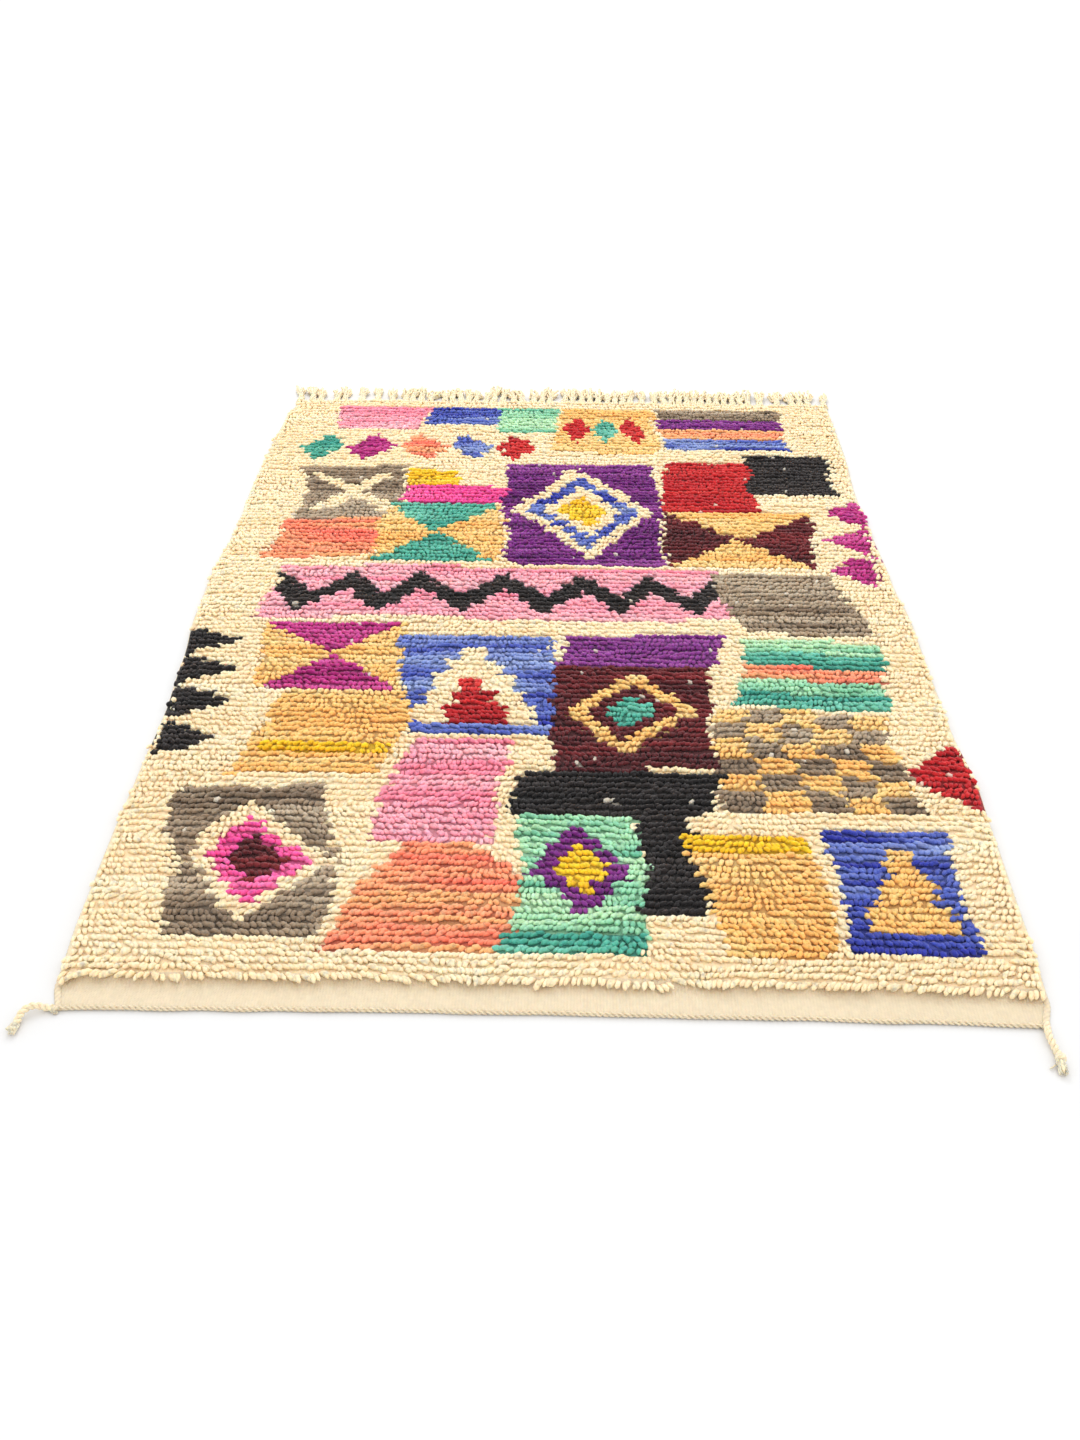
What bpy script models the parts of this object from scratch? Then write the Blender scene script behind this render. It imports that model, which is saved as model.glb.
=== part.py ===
"""A hand-knotted wool rug lying flat on the floor.

It has a thick pile in straight rows, a bare woven band with a twined edge at the near end, knotted
tassels at the far end and a twisted tie at each near corner. X runs across the rug, +Y towards the
tassels and +Z up. The origin is on the floor, under the middle of the rug and its tassels.
"""

import math
import random
from collections import namedtuple

import bmesh
import bpy
from mathutils import Vector

# Driving sizes, in metres
CLOTH_LENGTH = 2.44
FRINGE_LENGTH = 0.115
BAND_LENGTH = 0.060
GAP = 0.0003

PILE_ROWS = 140
PILE_CREST = 0.0175
PILE_VALLEY = 0.0125
PILE_LUMP = 0.0012
CREST_SHARE = 0.35
FIRST_ROW_SLOPE = 0.12
BAND_THICKNESS = 0.004
BAND_LINES = 3

RIM_WIDTH = 0.014
RIM_CREST = 0.0075
RIM_VALLEY = 0.0055
RIM_NOTCH = 0.003
INNER_COLUMNS = 5

TWINING_RADIUS = 0.003
TWINING_WAIST = 0.0022
TWINING_PITCH = 0.011
TWINING_SLANT = 0.0016
SELVEDGE_WIDTH = 0.0115
FIVE_SIDED_FOOT = math.radians(-126.0)

STRIP_WIDTH = 0.006
STRIP_THICKNESS = 0.0045
TASSELS = 54
TASSEL_ROOT = 0.008
TASSEL_STEPS = (0.75, 0.8, 0.85, 1.0, 1.3, 1.7)
TASSEL_TOP_SHARE = 0.62
TASSEL_SHORTER = (0.62, 0.97)
TASSEL_SIZES = (0.85, 1.1)
TASSEL_LEAN = 0.010
TASSEL_BEND = 0.002
TASSEL_APART = 0.0035

TIE_RADIUS = 0.0043
TIE_PLIES = 2
TIE_LOBE = 0.16
TIE_LAY = 0.030
TIE_STEP = 0.0036

UP = Vector((0.0, 0.0, 1.0))
NEAR = -(CLOTH_LENGTH + FRINGE_LENGTH) / 2
FAR = NEAR + CLOTH_LENGTH

# How far each long side lies from the centre line, along the rug from its near edge
SideRow = namedtuple("SideRow", "from_near left right")
SIDES = (
    SideRow(0.000, 0.773, 0.788),
    SideRow(0.060, 0.786, 0.800),
    SideRow(0.220, 0.792, 0.805),
    SideRow(0.470, 0.793, 0.807),
    SideRow(0.620, 0.791, 0.810),
    SideRow(0.820, 0.787, 0.797),
    SideRow(1.020, 0.795, 0.795),
    SideRow(1.220, 0.808, 0.795),
    SideRow(1.420, 0.810, 0.782),
    SideRow(1.670, 0.796, 0.774),
    SideRow(1.870, 0.799, 0.767),
    SideRow(2.120, 0.793, 0.774),
    SideRow(2.320, 0.785, 0.772),
    SideRow(2.440, 0.768, 0.770),
)

# How far the near edge draws in, mid-way between its corners, and how far back the rows bow with it
NEAR_BOW = 0.008
BOW_FADE = 0.6
CORNER_X = 0.773

# Sections of one tassel, from its root to its tip
TasselSection = namedtuple("TasselSection", "share_of_length width height")
TASSEL_SECTIONS = (
    TasselSection(0.30, 0.0075, 0.0060),
    TasselSection(0.58, 0.0085, 0.0075),
    TasselSection(0.70, 0.0165, 0.0135),
    TasselSection(0.82, 0.0110, 0.0090),
    TasselSection(1.00, 0.0140, 0.0050),
)

# Routes of the ties' centre lines, in metres from the cloth's near corner on that side
LEFT_TIE = (
    (-0.0004, -0.0017, 0.0053),
    (-0.0052, -0.0019, 0.0057),
    (-0.0101, -0.0021, 0.0070),
    (-0.0150, -0.0023, 0.0089),
    (-0.0200, -0.0026, 0.0107),
    (-0.0249, -0.0031, 0.0122),
    (-0.0298, -0.0044, 0.0129),
    (-0.0346, -0.0066, 0.0129),
    (-0.0390, -0.0100, 0.0122),
    (-0.0426, -0.0145, 0.0110),
    (-0.0451, -0.0197, 0.0094),
    (-0.0465, -0.0254, 0.0079),
    (-0.0471, -0.0312, 0.0066),
    (-0.0474, -0.0370, 0.0057),
    (-0.0477, -0.0428, 0.0052),
)
RIGHT_TIE = (
    (-0.0065, 0.0028, 0.0052),
    (-0.0070, -0.0020, 0.0059),
    (-0.0078, -0.0068, 0.0069),
    (-0.0087, -0.0116, 0.0080),
    (-0.0095, -0.0164, 0.0090),
    (-0.0100, -0.0212, 0.0097),
    (-0.0102, -0.0260, 0.0100),
    (-0.0099, -0.0308, 0.0099),
    (-0.0093, -0.0356, 0.0095),
    (-0.0085, -0.0404, 0.0089),
    (-0.0076, -0.0452, 0.0082),
    (-0.0067, -0.0500, 0.0076),
    (-0.0059, -0.0548, 0.0071),
    (-0.0052, -0.0596, 0.0067),
    (-0.0047, -0.0640, 0.0065),
)

# Turned ends of the ties: each row is one section, in metres from the end of the tie's route
EndSection = namedtuple("EndSection", "x y height radius")
LEFT_FRAY = (
    EndSection(-0.0001, -0.0008, 0.0052, 0.0040),
    EndSection(-0.0006, -0.0042, 0.0064, 0.0058),
    EndSection(-0.0016, -0.0082, 0.0070, 0.0066),
    EndSection(-0.0030, -0.0126, 0.0066, 0.0062),
    EndSection(-0.0042, -0.0168, 0.0046, 0.0036),
)
RIGHT_KNOT = (
    EndSection(0.0001, -0.0008, 0.0064, 0.0044),
    EndSection(0.0004, -0.0036, 0.0078, 0.0070),
    EndSection(0.0006, -0.0074, 0.0084, 0.0079),
    EndSection(0.0006, -0.0112, 0.0074, 0.0066),
    EndSection(0.0003, -0.0144, 0.0056, 0.0046),
    EndSection(-0.0002, -0.0200, 0.0058, 0.0054),
    EndSection(-0.0010, -0.0262, 0.0070, 0.0066),
    EndSection(-0.0022, -0.0322, 0.0070, 0.0066),
    EndSection(-0.0032, -0.0366, 0.0048, 0.0038),
)
RIGHT_STRAND = (
    EndSection(-0.0049, -0.0140, 0.0036, 0.0014),
    EndSection(-0.0088, -0.0148, 0.0034, 0.0026),
    EndSection(-0.0130, -0.0168, 0.0037, 0.0032),
    EndSection(-0.0168, -0.0197, 0.0032, 0.0026),
    EndSection(-0.0194, -0.0228, 0.0020, 0.0012),
)
END_SIDES = 7


def clear_scene():
    for item in list(bpy.data.objects):
        bpy.data.objects.remove(item, do_unlink=True)


def wool(name, colour, roughness=0.95):
    """A dull wool material."""
    material = bpy.data.materials.new(name)
    material.use_nodes = True
    shader = material.node_tree.nodes["Principled BSDF"]
    shader.inputs["Base Color"].default_value = (*colour, 1.0)
    shader.inputs["Roughness"].default_value = roughness
    shader.inputs["Metallic"].default_value = 0.0
    return material


def add_object(name, bm, material):
    """Turns a finished bmesh into a named object, with every face pointing outwards."""
    bmesh.ops.recalc_face_normals(bm, faces=bm.faces[:])
    mesh = bpy.data.meshes.new(name)
    bm.to_mesh(mesh)
    bm.free()
    mesh.materials.append(material)
    item = bpy.data.objects.new(name, mesh)
    bpy.context.collection.objects.link(item)
    return item


def ease(share):
    """Goes from 0 to 1 with a level start and end."""
    share = min(max(share, 0.0), 1.0)
    return (1.0 - math.cos(math.pi * share)) / 2.0


def side_x(y, side):
    """Where the long side named left or right crosses y."""
    from_near = y - NEAR
    sign = -1.0 if side == "left" else 1.0
    for before, after in zip(SIDES, SIDES[1:]):
        if from_near <= after.from_near:
            share = ease((from_near - before.from_near) / (after.from_near - before.from_near))
            return sign * (getattr(before, side) * (1.0 - share) + getattr(after, side) * share)
    return sign * getattr(SIDES[-1], side)


def near_bow(x, y):
    """How far a point is drawn towards the tassels by the bow of the near edge."""
    across = min(abs(x) / CORNER_X, 1.0)
    fade = 1.0 - ease((y - NEAR) / BOW_FADE)
    return NEAR_BOW * (1.0 - across**2) * fade


def twining_depth():
    """The twined edge's thickness along Y: a five-sided cord on a flat side."""
    return 2.0 * TWINING_RADIUS * math.cos(FIVE_SIDED_FOOT + math.tau * 2.0 / 5.0)


def cross_lines():
    """The lines across the rug that its surface is raised on: (y, height, rim height, notch)."""
    cloth_start = NEAR + twining_depth() + GAP
    pile_start = NEAR + BAND_LENGTH
    pitch = (FAR - pile_start) / PILE_ROWS
    band_end = pile_start - FIRST_ROW_SLOPE * pitch
    lines = []
    for number in range(BAND_LINES + 1):
        y = cloth_start + (band_end - cloth_start) * number / BAND_LINES
        lines.append((y, BAND_THICKNESS, BAND_THICKNESS, 0.0))
    for row in range(PILE_ROWS):
        start = pile_start + row * pitch
        lines.append((start + CREST_SHARE * pitch, PILE_CREST, RIM_CREST, 0.0))
        lines.append((start + pitch, PILE_VALLEY, RIM_VALLEY, RIM_NOTCH))
    return lines


def make_rug(material):
    """The cloth: a grid whose lines are the rows' crests and valleys, walled down to a flat underside."""
    lumps = random.Random(11)
    lines = cross_lines()
    columns = INNER_COLUMNS + 4
    bm = bmesh.new()
    bmesh.ops.create_grid(bm, x_segments=columns - 1, y_segments=len(lines) - 1, size=0.5)
    for vert in sorted(bm.verts, key=lambda v: (round(v.co.y, 6), v.co.x)):
        column = round((vert.co.x + 0.5) * (columns - 1))
        y, height, rim_height, notch = lines[round((vert.co.y + 0.5) * (len(lines) - 1))]
        left = side_x(y, "left") + notch
        right = side_x(y, "right") - notch
        inner = (column - 1) / (columns - 3)
        x = left + RIM_WIDTH + inner * (right - left - 2.0 * RIM_WIDTH)
        if column == 0:
            x = left
        elif column == columns - 1:
            x = right
        if column in (0, columns - 1):
            height = rim_height
        if height > BAND_THICKNESS:
            height += lumps.uniform(-PILE_LUMP, PILE_LUMP)
        vert.co = Vector((x, y + near_bow(x, y), height))
    rim = [edge for edge in bm.edges if edge.is_boundary]
    wall = bmesh.ops.extrude_edge_only(bm, edges=rim)["geom"]
    for vert in (part for part in wall if isinstance(part, bmesh.types.BMVert)):
        vert.co.z = 0.0
    foot = [edge for edge in bm.edges if edge.is_boundary]
    bmesh.ops.contextual_create(bm, geom=foot)
    return add_object("rug", bm, material)


def loft(bm, rings):
    """Joins rings of points into one closed body, with a flat cap at each end."""
    first = [bm.verts.new(point) for point in rings[0]]
    loop = [bm.edges.new((first[i], first[(i + 1) % len(first)])) for i in range(len(first))]
    bmesh.ops.contextual_create(bm, geom=loop)
    verts = first
    for ring in rings[1:]:
        verts_after = [bm.verts.new(point) for point in ring]
        for i in range(len(ring)):
            j = (i + 1) % len(ring)
            bm.faces.new((verts[i], verts[j], verts_after[j], verts_after[i]))
        verts = verts_after
    bm.faces.new(verts)


def make_twining(material):
    """The twined edge: a cord on a flat side, pinched between its slanting scallops."""
    left = side_x(NEAR, "left")
    right = side_x(NEAR, "right") - SELVEDGE_WIDTH
    scallops = round((right - left) / TWINING_PITCH)
    step = (right - left) / (2 * scallops)
    rings = []
    for index in range(2 * scallops + 1):
        radius = TWINING_WAIST if index % 2 == 0 else TWINING_RADIUS
        x = left + index * step
        centre_y = NEAR + near_bow(x, NEAR) + twining_depth() / 2.0
        inside = 0 < index < 2 * scallops
        ring = []
        for corner in range(5):
            angle = FIVE_SIDED_FOOT + math.tau * corner / 5.0
            slant = TWINING_SLANT * math.sin(angle) if inside else 0.0
            lift = radius * (math.sin(angle) - math.sin(FIVE_SIDED_FOOT))
            ring.append((x + slant, centre_y + radius * math.cos(angle), lift))
        rings.append(ring)
    bm = bmesh.new()
    loft(bm, rings)
    return add_object("near_twining", bm, material)


def tassel_roots():
    """Where each tassel leaves the strip, in loose clumps with gaps between them."""
    spread = random.Random(5)
    left = side_x(FAR, "left") + TASSEL_ROOT
    right = side_x(FAR, "right") - TASSEL_ROOT
    steps = [spread.choice(TASSEL_STEPS) for _ in range(TASSELS - 1)]
    scale = (right - left) / sum(steps)
    roots = [left]
    for step in steps:
        roots.append(roots[-1] + step * scale)
    return roots


def draw_out(bm, face, centre_x, y, width, height):
    """Draws a wall face out to one section: flat on the floor, and narrower on top."""
    face = bmesh.ops.extrude_discrete_faces(bm, faces=[face])["faces"][0]
    middle = face.calc_center_median()
    for vert in face.verts:
        side = 1.0 if vert.co.x > middle.x else -1.0
        on_top = vert.co.z > middle.z
        half = width / 2.0 * (TASSEL_TOP_SHARE if on_top else 1.0)
        vert.co = Vector((centre_x + side * half, y, height if on_top else 0.0))
    return face


def make_fringe(material):
    """The strip and its tassels: each tassel is drawn out of the strip's far wall, section by section."""
    loose = random.Random(23)
    roots = tassel_roots()
    stations = [side_x(FAR, "left")]
    for root in roots:
        stations += [root - TASSEL_ROOT / 2.0, root + TASSEL_ROOT / 2.0]
    stations.append(side_x(FAR, "right"))
    start = FAR + GAP
    end = start + STRIP_WIDTH
    section = ((start, 0.0), (end, 0.0), (end, STRIP_THICKNESS), (start, STRIP_THICKNESS))
    bm = bmesh.new()
    loft(bm, [[(x, y, z) for y, z in section] for x in stations])
    bmesh.ops.recalc_face_normals(bm, faces=bm.faces[:])
    outward = [face for face in bm.faces if face.normal.y > 0.9]
    walls = [min(outward, key=lambda f: abs(f.calc_center_median().x - root)) for root in roots]
    reach = FRINGE_LENGTH - GAP - STRIP_WIDTH
    longest = TASSELS // 3
    widest = max(section.width for section in TASSEL_SECTIONS)
    last_tip = -math.inf
    for number, (root, face) in enumerate(zip(roots, walls)):
        length = reach if number == longest else reach * loose.uniform(*TASSEL_SHORTER)
        size = loose.uniform(*TASSEL_SIZES)
        bend = loose.uniform(-TASSEL_BEND, TASSEL_BEND)
        first_clear = last_tip + TASSEL_SIZES[1] * widest + TASSEL_APART
        tip = max(root + loose.uniform(-TASSEL_LEAN, TASSEL_LEAN), first_clear)
        last_tip = tip
        for section in TASSEL_SECTIONS:
            share = section.share_of_length
            x = root + (tip - root) * share + bend * math.sin(math.tau * share)
            face = draw_out(bm, face, x, end + length * share, section.width * size, section.height * size)
    return add_object("far_fringe", bm, material)


def smooth_route(points, step):
    """Points about one step apart on a smooth curve through the given ones."""
    knots = [Vector(point) for point in points]
    knots = [2.0 * knots[0] - knots[1], *knots, 2.0 * knots[-1] - knots[-2]]
    route = []
    for p0, p1, p2, p3 in zip(knots, knots[1:], knots[2:], knots[3:]):
        pieces = max(1, round((p2 - p1).length / step))
        for piece in range(pieces):
            t = piece / pieces
            route.append(
                0.5
                * (
                    2.0 * p1
                    + (p2 - p0) * t
                    + (2.0 * p0 - 5.0 * p1 + 4.0 * p2 - p3) * t**2
                    + (3.0 * p1 - p0 - 3.0 * p2 + p3) * t**3
                )
            )
    route.append(knots[-2])
    return route


def headings(route):
    """The way that the route is heading at each of its points."""
    ahead = route[1:] + [2.0 * route[-1] - route[-2]]
    behind = [2.0 * route[0] - route[1]] + route[:-1]
    return [(after - before).normalized() for after, before in zip(ahead, behind)]


def make_tie(name, corner, points, material):
    """A tie: twisted plies along a route, as one lobed cord."""
    route = [corner + point for point in smooth_route(points, TIE_STEP)]
    sides = 4 * TIE_PLIES
    travelled = 0.0
    rings = []
    for index, (point, heading) in enumerate(zip(route, headings(route))):
        if index:
            travelled += (point - route[index - 1]).length
        sideways = heading.cross(UP).normalized()
        upwards = sideways.cross(heading)
        turn = math.tau * travelled / TIE_LAY
        ring = []
        for corner_number in range(sides):
            angle = math.tau * corner_number / sides
            radius = TIE_RADIUS * (1.0 - TIE_LOBE + TIE_LOBE * math.cos(TIE_PLIES * (angle - turn)))
            ring.append(point + radius * (math.cos(angle) * sideways + math.sin(angle) * upwards))
        rings.append(ring)
    bm = bmesh.new()
    loft(bm, rings)
    return add_object(name, bm, material)


def make_end(name, tie_end, sections, material):
    """What is on the end of a tie: round sections that follow its bends, level on the floor."""
    centres = [Vector((tie_end.x + section.x, tie_end.y + section.y, 0.0)) for section in sections]
    rings = []
    for centre, heading, section in zip(centres, headings(centres), sections):
        sideways = heading.cross(UP)
        ring = []
        for number in range(END_SIDES):
            angle = math.tau * (number + 0.5) / END_SIDES - math.pi / 2.0
            lift = max(section.height + section.radius * math.sin(angle), GAP)
            ring.append(centre + sideways * (section.radius * math.cos(angle)) + lift * UP)
        rings.append(ring)
    bm = bmesh.new()
    loft(bm, rings)
    return add_object(name, bm, material)


def build():
    clear_scene()
    make_rug(wool("pile wool", (0.85, 0.74, 0.54)))
    make_twining(wool("twining wool", (0.80, 0.70, 0.50)))
    make_fringe(wool("tassel wool", (0.74, 0.64, 0.46)))
    corner_y = NEAR + twining_depth() / 2.0
    left_corner = Vector((side_x(NEAR, "left"), corner_y, 0.0))
    right_corner = Vector((side_x(NEAR, "right"), corner_y, 0.0))
    left_end = left_corner + Vector(LEFT_TIE[-1])
    right_end = right_corner + Vector(RIGHT_TIE[-1])
    make_tie("corner_tie_left", left_corner, LEFT_TIE, wool("left tie wool", (0.78, 0.68, 0.48)))
    make_tie("corner_tie_right", right_corner, RIGHT_TIE, wool("right tie wool", (0.78, 0.68, 0.48)))
    make_end("tie_fray_left", left_end, LEFT_FRAY, wool("left fray wool", (0.80, 0.70, 0.52)))
    make_end("tie_knot_right", right_end, RIGHT_KNOT, wool("knot wool", (0.78, 0.68, 0.48)))
    make_end("tie_strand_right", right_end, RIGHT_STRAND, wool("strand wool", (0.80, 0.70, 0.52)))


build()
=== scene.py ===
# %% [markdown]
# # A hand-knotted berber rug
#
# A rug of this kind grows on a loom. Strong warp threads run from end to end, a few wefts cross them, and
# then comes a row of knots. Each knot is a short piece of thick wool tied around two warps, and its ends
# stand up as pile. The weaver changes the wool from knot to knot, and that is how the pattern gets its
# stepped edges. The frame that is loaded first has the rug as plain solids. This script lays the real
# surface over them: about 27,000 tufts, a ground weave, corded edges, tassels and two twisted ties.

# %% Load the frame
import math
import random
from collections import namedtuple

import bmesh
import bpy
import numpy as np
from mathutils import Matrix, Vector


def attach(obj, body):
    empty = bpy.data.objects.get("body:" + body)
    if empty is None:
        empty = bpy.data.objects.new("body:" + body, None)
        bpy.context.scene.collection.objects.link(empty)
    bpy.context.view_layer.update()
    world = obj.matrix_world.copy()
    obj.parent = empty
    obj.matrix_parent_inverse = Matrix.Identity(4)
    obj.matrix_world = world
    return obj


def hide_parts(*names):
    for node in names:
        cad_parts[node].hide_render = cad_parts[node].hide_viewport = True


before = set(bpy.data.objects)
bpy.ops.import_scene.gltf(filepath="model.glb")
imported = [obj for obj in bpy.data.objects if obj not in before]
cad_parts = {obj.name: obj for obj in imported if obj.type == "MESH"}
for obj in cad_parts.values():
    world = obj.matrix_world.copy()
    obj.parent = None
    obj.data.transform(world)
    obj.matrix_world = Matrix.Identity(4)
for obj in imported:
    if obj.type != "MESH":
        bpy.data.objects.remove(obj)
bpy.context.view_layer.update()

# %% [markdown]
# ## The camera
#
# The rug is seen from its bare woven end, from about standing height. The near edge is wide and the far
# edge narrow, and that ratio fixes the height and the tilt. A camera could be aimed with a constraint, but
# a matrix from three plain turns is easier to read and never changes. The lens is in millimetres for a
# sensor 36 mm on its longer side.

# %% Place the camera
CAMERA_PLACE = Vector((0.0247, -2.948, 1.7145))
CAMERA_DOWN = math.radians(34.426)
CAMERA_LEFT = math.radians(1.151)
CAMERA_ROLL = math.radians(0.203)
CAMERA_LENS = 37.5
SENSOR_WIDTH = 36.0


def add_object(name, data):
    """An object in the scene for a camera, a lamp or a mesh."""
    added = bpy.data.objects.new(name, data)
    bpy.context.scene.collection.objects.link(added)
    return added


camera_data = bpy.data.cameras.new("camera")
camera_data.sensor_width = SENSOR_WIDTH
camera_data.lens = CAMERA_LENS
camera = add_object("camera", camera_data)
camera.matrix_world = (
    Matrix.Translation(CAMERA_PLACE)
    @ Matrix.Rotation(CAMERA_LEFT, 4, "Z")
    @ Matrix.Rotation(math.pi / 2.0 - CAMERA_DOWN, 4, "X")
    @ Matrix.Rotation(CAMERA_ROLL, 4, "Z")
)
bpy.context.scene.camera = camera
print("camera height:", CAMERA_PLACE.z, "m, tilted down by", round(math.degrees(CAMERA_DOWN), 1), "degrees")

# %% [markdown]
# ## The rug's outline
#
# No loom makes a straight rug: the weaver pulls one weft tighter than the next, so the long sides wander by
# a centimetre or two and the near edge bows. A short table says how far each side lies from the centre line.
# Between its rows a cosine goes smoothly from one width to the next. Working with numpy arrays lets the same
# function answer for one point or for 27,000 knots at once.

# %% The outline, in metres
CLOTH_LENGTH = 2.44
FRINGE_LENGTH = 0.115
BAND_LENGTH = 0.060
NEAR = -(CLOTH_LENGTH + FRINGE_LENGTH) / 2
FAR = NEAR + CLOTH_LENGTH
PILE_START = NEAR + BAND_LENGTH
NEAR_BOW = 0.008
BOW_FADE = 0.6
NEAR_WAVE = 0.0013
CORNER_X = 0.773
UP = Vector((0.0, 0.0, 1.0))
NOISE_TABLE = (97, 89)
NOISE_START = 40.0

SideRow = namedtuple("SideRow", "from_near left right")
SIDES = (
    SideRow(0.000, 0.773, 0.788),
    SideRow(0.060, 0.786, 0.800),
    SideRow(0.220, 0.792, 0.805),
    SideRow(0.470, 0.793, 0.807),
    SideRow(0.620, 0.791, 0.810),
    SideRow(0.820, 0.787, 0.797),
    SideRow(1.020, 0.795, 0.795),
    SideRow(1.220, 0.808, 0.795),
    SideRow(1.420, 0.810, 0.782),
    SideRow(1.670, 0.796, 0.774),
    SideRow(1.870, 0.799, 0.767),
    SideRow(2.120, 0.793, 0.774),
    SideRow(2.320, 0.785, 0.772),
    SideRow(2.440, 0.768, 0.770),
)


def ease(share):
    """Goes from 0 to 1 with a level start and end."""
    return (1.0 - np.cos(np.pi * np.clip(share, 0.0, 1.0))) / 2.0


def side_x(y, side):
    """Where the long side named left or right crosses y."""
    stations = np.array([row.from_near for row in SIDES])
    reach = np.array([getattr(row, side) for row in SIDES])
    from_near = np.asarray(y) - NEAR
    before = np.clip(np.searchsorted(stations, from_near, side="right") - 1, 0, len(SIDES) - 2)
    share = ease((from_near - stations[before]) / (stations[before + 1] - stations[before]))
    sign = -1.0 if side == "left" else 1.0
    return sign * (reach[before] * (1.0 - share) + reach[before + 1] * share)


def near_bow(x, y):
    """How far a point is drawn towards the tassels by the bow of the near edge."""
    across = np.minimum(np.abs(x) / CORNER_X, 1.0)
    return NEAR_BOW * (1.0 - across**2) * (1.0 - ease((y - NEAR) / BOW_FADE))


def soft_noise(x, y, size, seed):
    """Smooth random values from -1 to 1, which change over about one size (across, along)."""
    rows, columns = NOISE_TABLE
    table = np.random.default_rng(seed).uniform(-1.0, 1.0, NOISE_TABLE)
    across, along = np.asarray(x) / size[0] + NOISE_START, np.asarray(y) / size[1] + NOISE_START
    column, row = np.floor(across).astype(int), np.floor(along).astype(int)
    u, v = ease(across - column), ease(along - row)
    near = table[row % rows, column % columns] * (1.0 - u) + table[row % rows, (column + 1) % columns] * u
    row = row + 1
    far = table[row % rows, column % columns] * (1.0 - u) + table[row % rows, (column + 1) % columns] * u
    return near * (1.0 - v) + far * v


def near_wave(x):
    """How far the twined near edge strays from its bow."""
    return NEAR_WAVE * soft_noise(x, 0.0 * x, (0.06, 0.05), 62)


print("widest:", round(max(row.left + row.right for row in SIDES), 3), "m, cloth:", CLOTH_LENGTH, "m long")

# %% [markdown]
# ## Yarn as a mesh
#
# Ties, tassels and edges are all yarn. A curve object with a bevel would do, but a mesh lets each ring have
# its own size and keeps a map of the surface. So a yarn starts as a flat disc. Its cap is extruded again and
# again, and each new ring is put at the next point of the route, square to the way the yarn is heading. Two
# vertex layers remember where each point lies around and along the yarn, and at the end they become the UV
# map named yarn, which the wool's ply twist follows.


# %% Directions along a route
def headings(route):
    """The way that the route is heading at each of its points."""
    ahead = route[1:] + [2.0 * route[-1] - route[-2]]
    behind = [2.0 * route[0] - route[1]] + route[:-1]
    return [(after - before).normalized() for after, before in zip(ahead, behind)]


def frames_along(route, level=False):
    """Two directions square to the route at each point: level ones, or ones that turn very little."""
    ways = headings(route)
    if level:
        return [(way.cross(UP).normalized(), way.cross(UP).cross(way).normalized()) for way in ways]
    sideways = ways[0].orthogonal()
    frames = []
    for way in ways:
        sideways = (sideways - way * sideways.dot(way)).normalized()
        frames.append((sideways, way.cross(sideways)))
    return frames


def smooth_route(points, step):
    """Points about one step apart on a smooth curve through the given ones."""
    knots = [Vector(point) for point in points]
    knots = [2.0 * knots[0] - knots[1], *knots, 2.0 * knots[-1] - knots[-2]]
    route = []
    for p0, p1, p2, p3 in zip(knots, knots[1:], knots[2:], knots[3:]):
        pieces = max(1, round((p2 - p1).length / step))
        for piece in range(pieces):
            t = piece / pieces
            bend = (p2 - p0) * t + (2.0 * p0 - 5.0 * p1 + 4.0 * p2 - p3) * t**2
            route.append(0.5 * (2.0 * p1 + bend + (3.0 * p1 - p0 - 3.0 * p2 + p3) * t**3))
    route.append(knots[-2])
    return route


def length_of(route):
    return sum((after - before).length for before, after in zip(route, route[1:]))


# %% Draw a yarn out of a disc
def start_mesh():
    """An empty mesh whose points remember their place around and along a yarn."""
    bm = bmesh.new()
    bm.verts.layers.float.new("around")
    bm.verts.layers.float.new("along")
    return bm


def draw_yarn(bm, route, radii, sides, flat=None):
    """Draws a yarn along the route, ring by ring. With flat it lies level and that much lower than wide."""
    around = bm.verts.layers.float["around"]
    along = bm.verts.layers.float["along"]
    disc = bmesh.ops.create_circle(bm, cap_ends=True, segments=sides, radius=1.0)["verts"]
    for vert in disc:
        vert[around] = math.atan2(vert.co.y, vert.co.x) / math.tau % 1.0
    cap = disc[0].link_faces[0]
    travelled = 0.0
    height = 1.0 if flat is None else flat
    frames = frames_along(route, level=flat is not None)
    for index, (point, (sideways, upwards), radius) in enumerate(zip(route, frames, radii)):
        if index:
            travelled += (point - route[index - 1]).length
            cap = bmesh.ops.extrude_discrete_faces(bm, faces=[cap])["faces"][0]
        for vert in cap.verts:
            angle = math.tau * vert[around]
            vert.co = point + radius * (math.cos(angle) * sideways + height * math.sin(angle) * upwards)
            vert[along] = travelled
    return cap


def close_yarns(bm):
    """Closes the open starts, turns the faces outwards and writes the UV map named yarn."""
    bmesh.ops.holes_fill(bm, edges=[edge for edge in bm.edges if edge.is_boundary])
    bmesh.ops.recalc_face_normals(bm, faces=bm.faces[:])
    around = bm.verts.layers.float["around"]
    along = bm.verts.layers.float["along"]
    uv = bm.loops.layers.uv.new("yarn")
    for face in bm.faces:
        turns = [loop.vert[around] for loop in face.loops]
        wraps = max(turns) - min(turns) > 0.5
        for loop, turn in zip(face.loops, turns):
            loop[uv].uv = (turn + 1.0 if wraps and turn < 0.5 else turn, loop.vert[along])


def mesh_of(name, bm):
    """Turns a finished bmesh into a mesh."""
    mesh = bpy.data.meshes.new(name)
    bm.to_mesh(mesh)
    bm.free()
    return mesh


def add_piece(name, mesh, material):
    """Makes a finished mesh a piece of the rug."""
    mesh.materials.append(material)
    mesh.shade_smooth()
    piece = add_object(name, mesh)
    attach(piece, "root")
    triangles = sum(len(face.vertices) - 2 for face in mesh.polygons)
    print(f"{name}: {triangles} triangles")
    return piece


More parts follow.
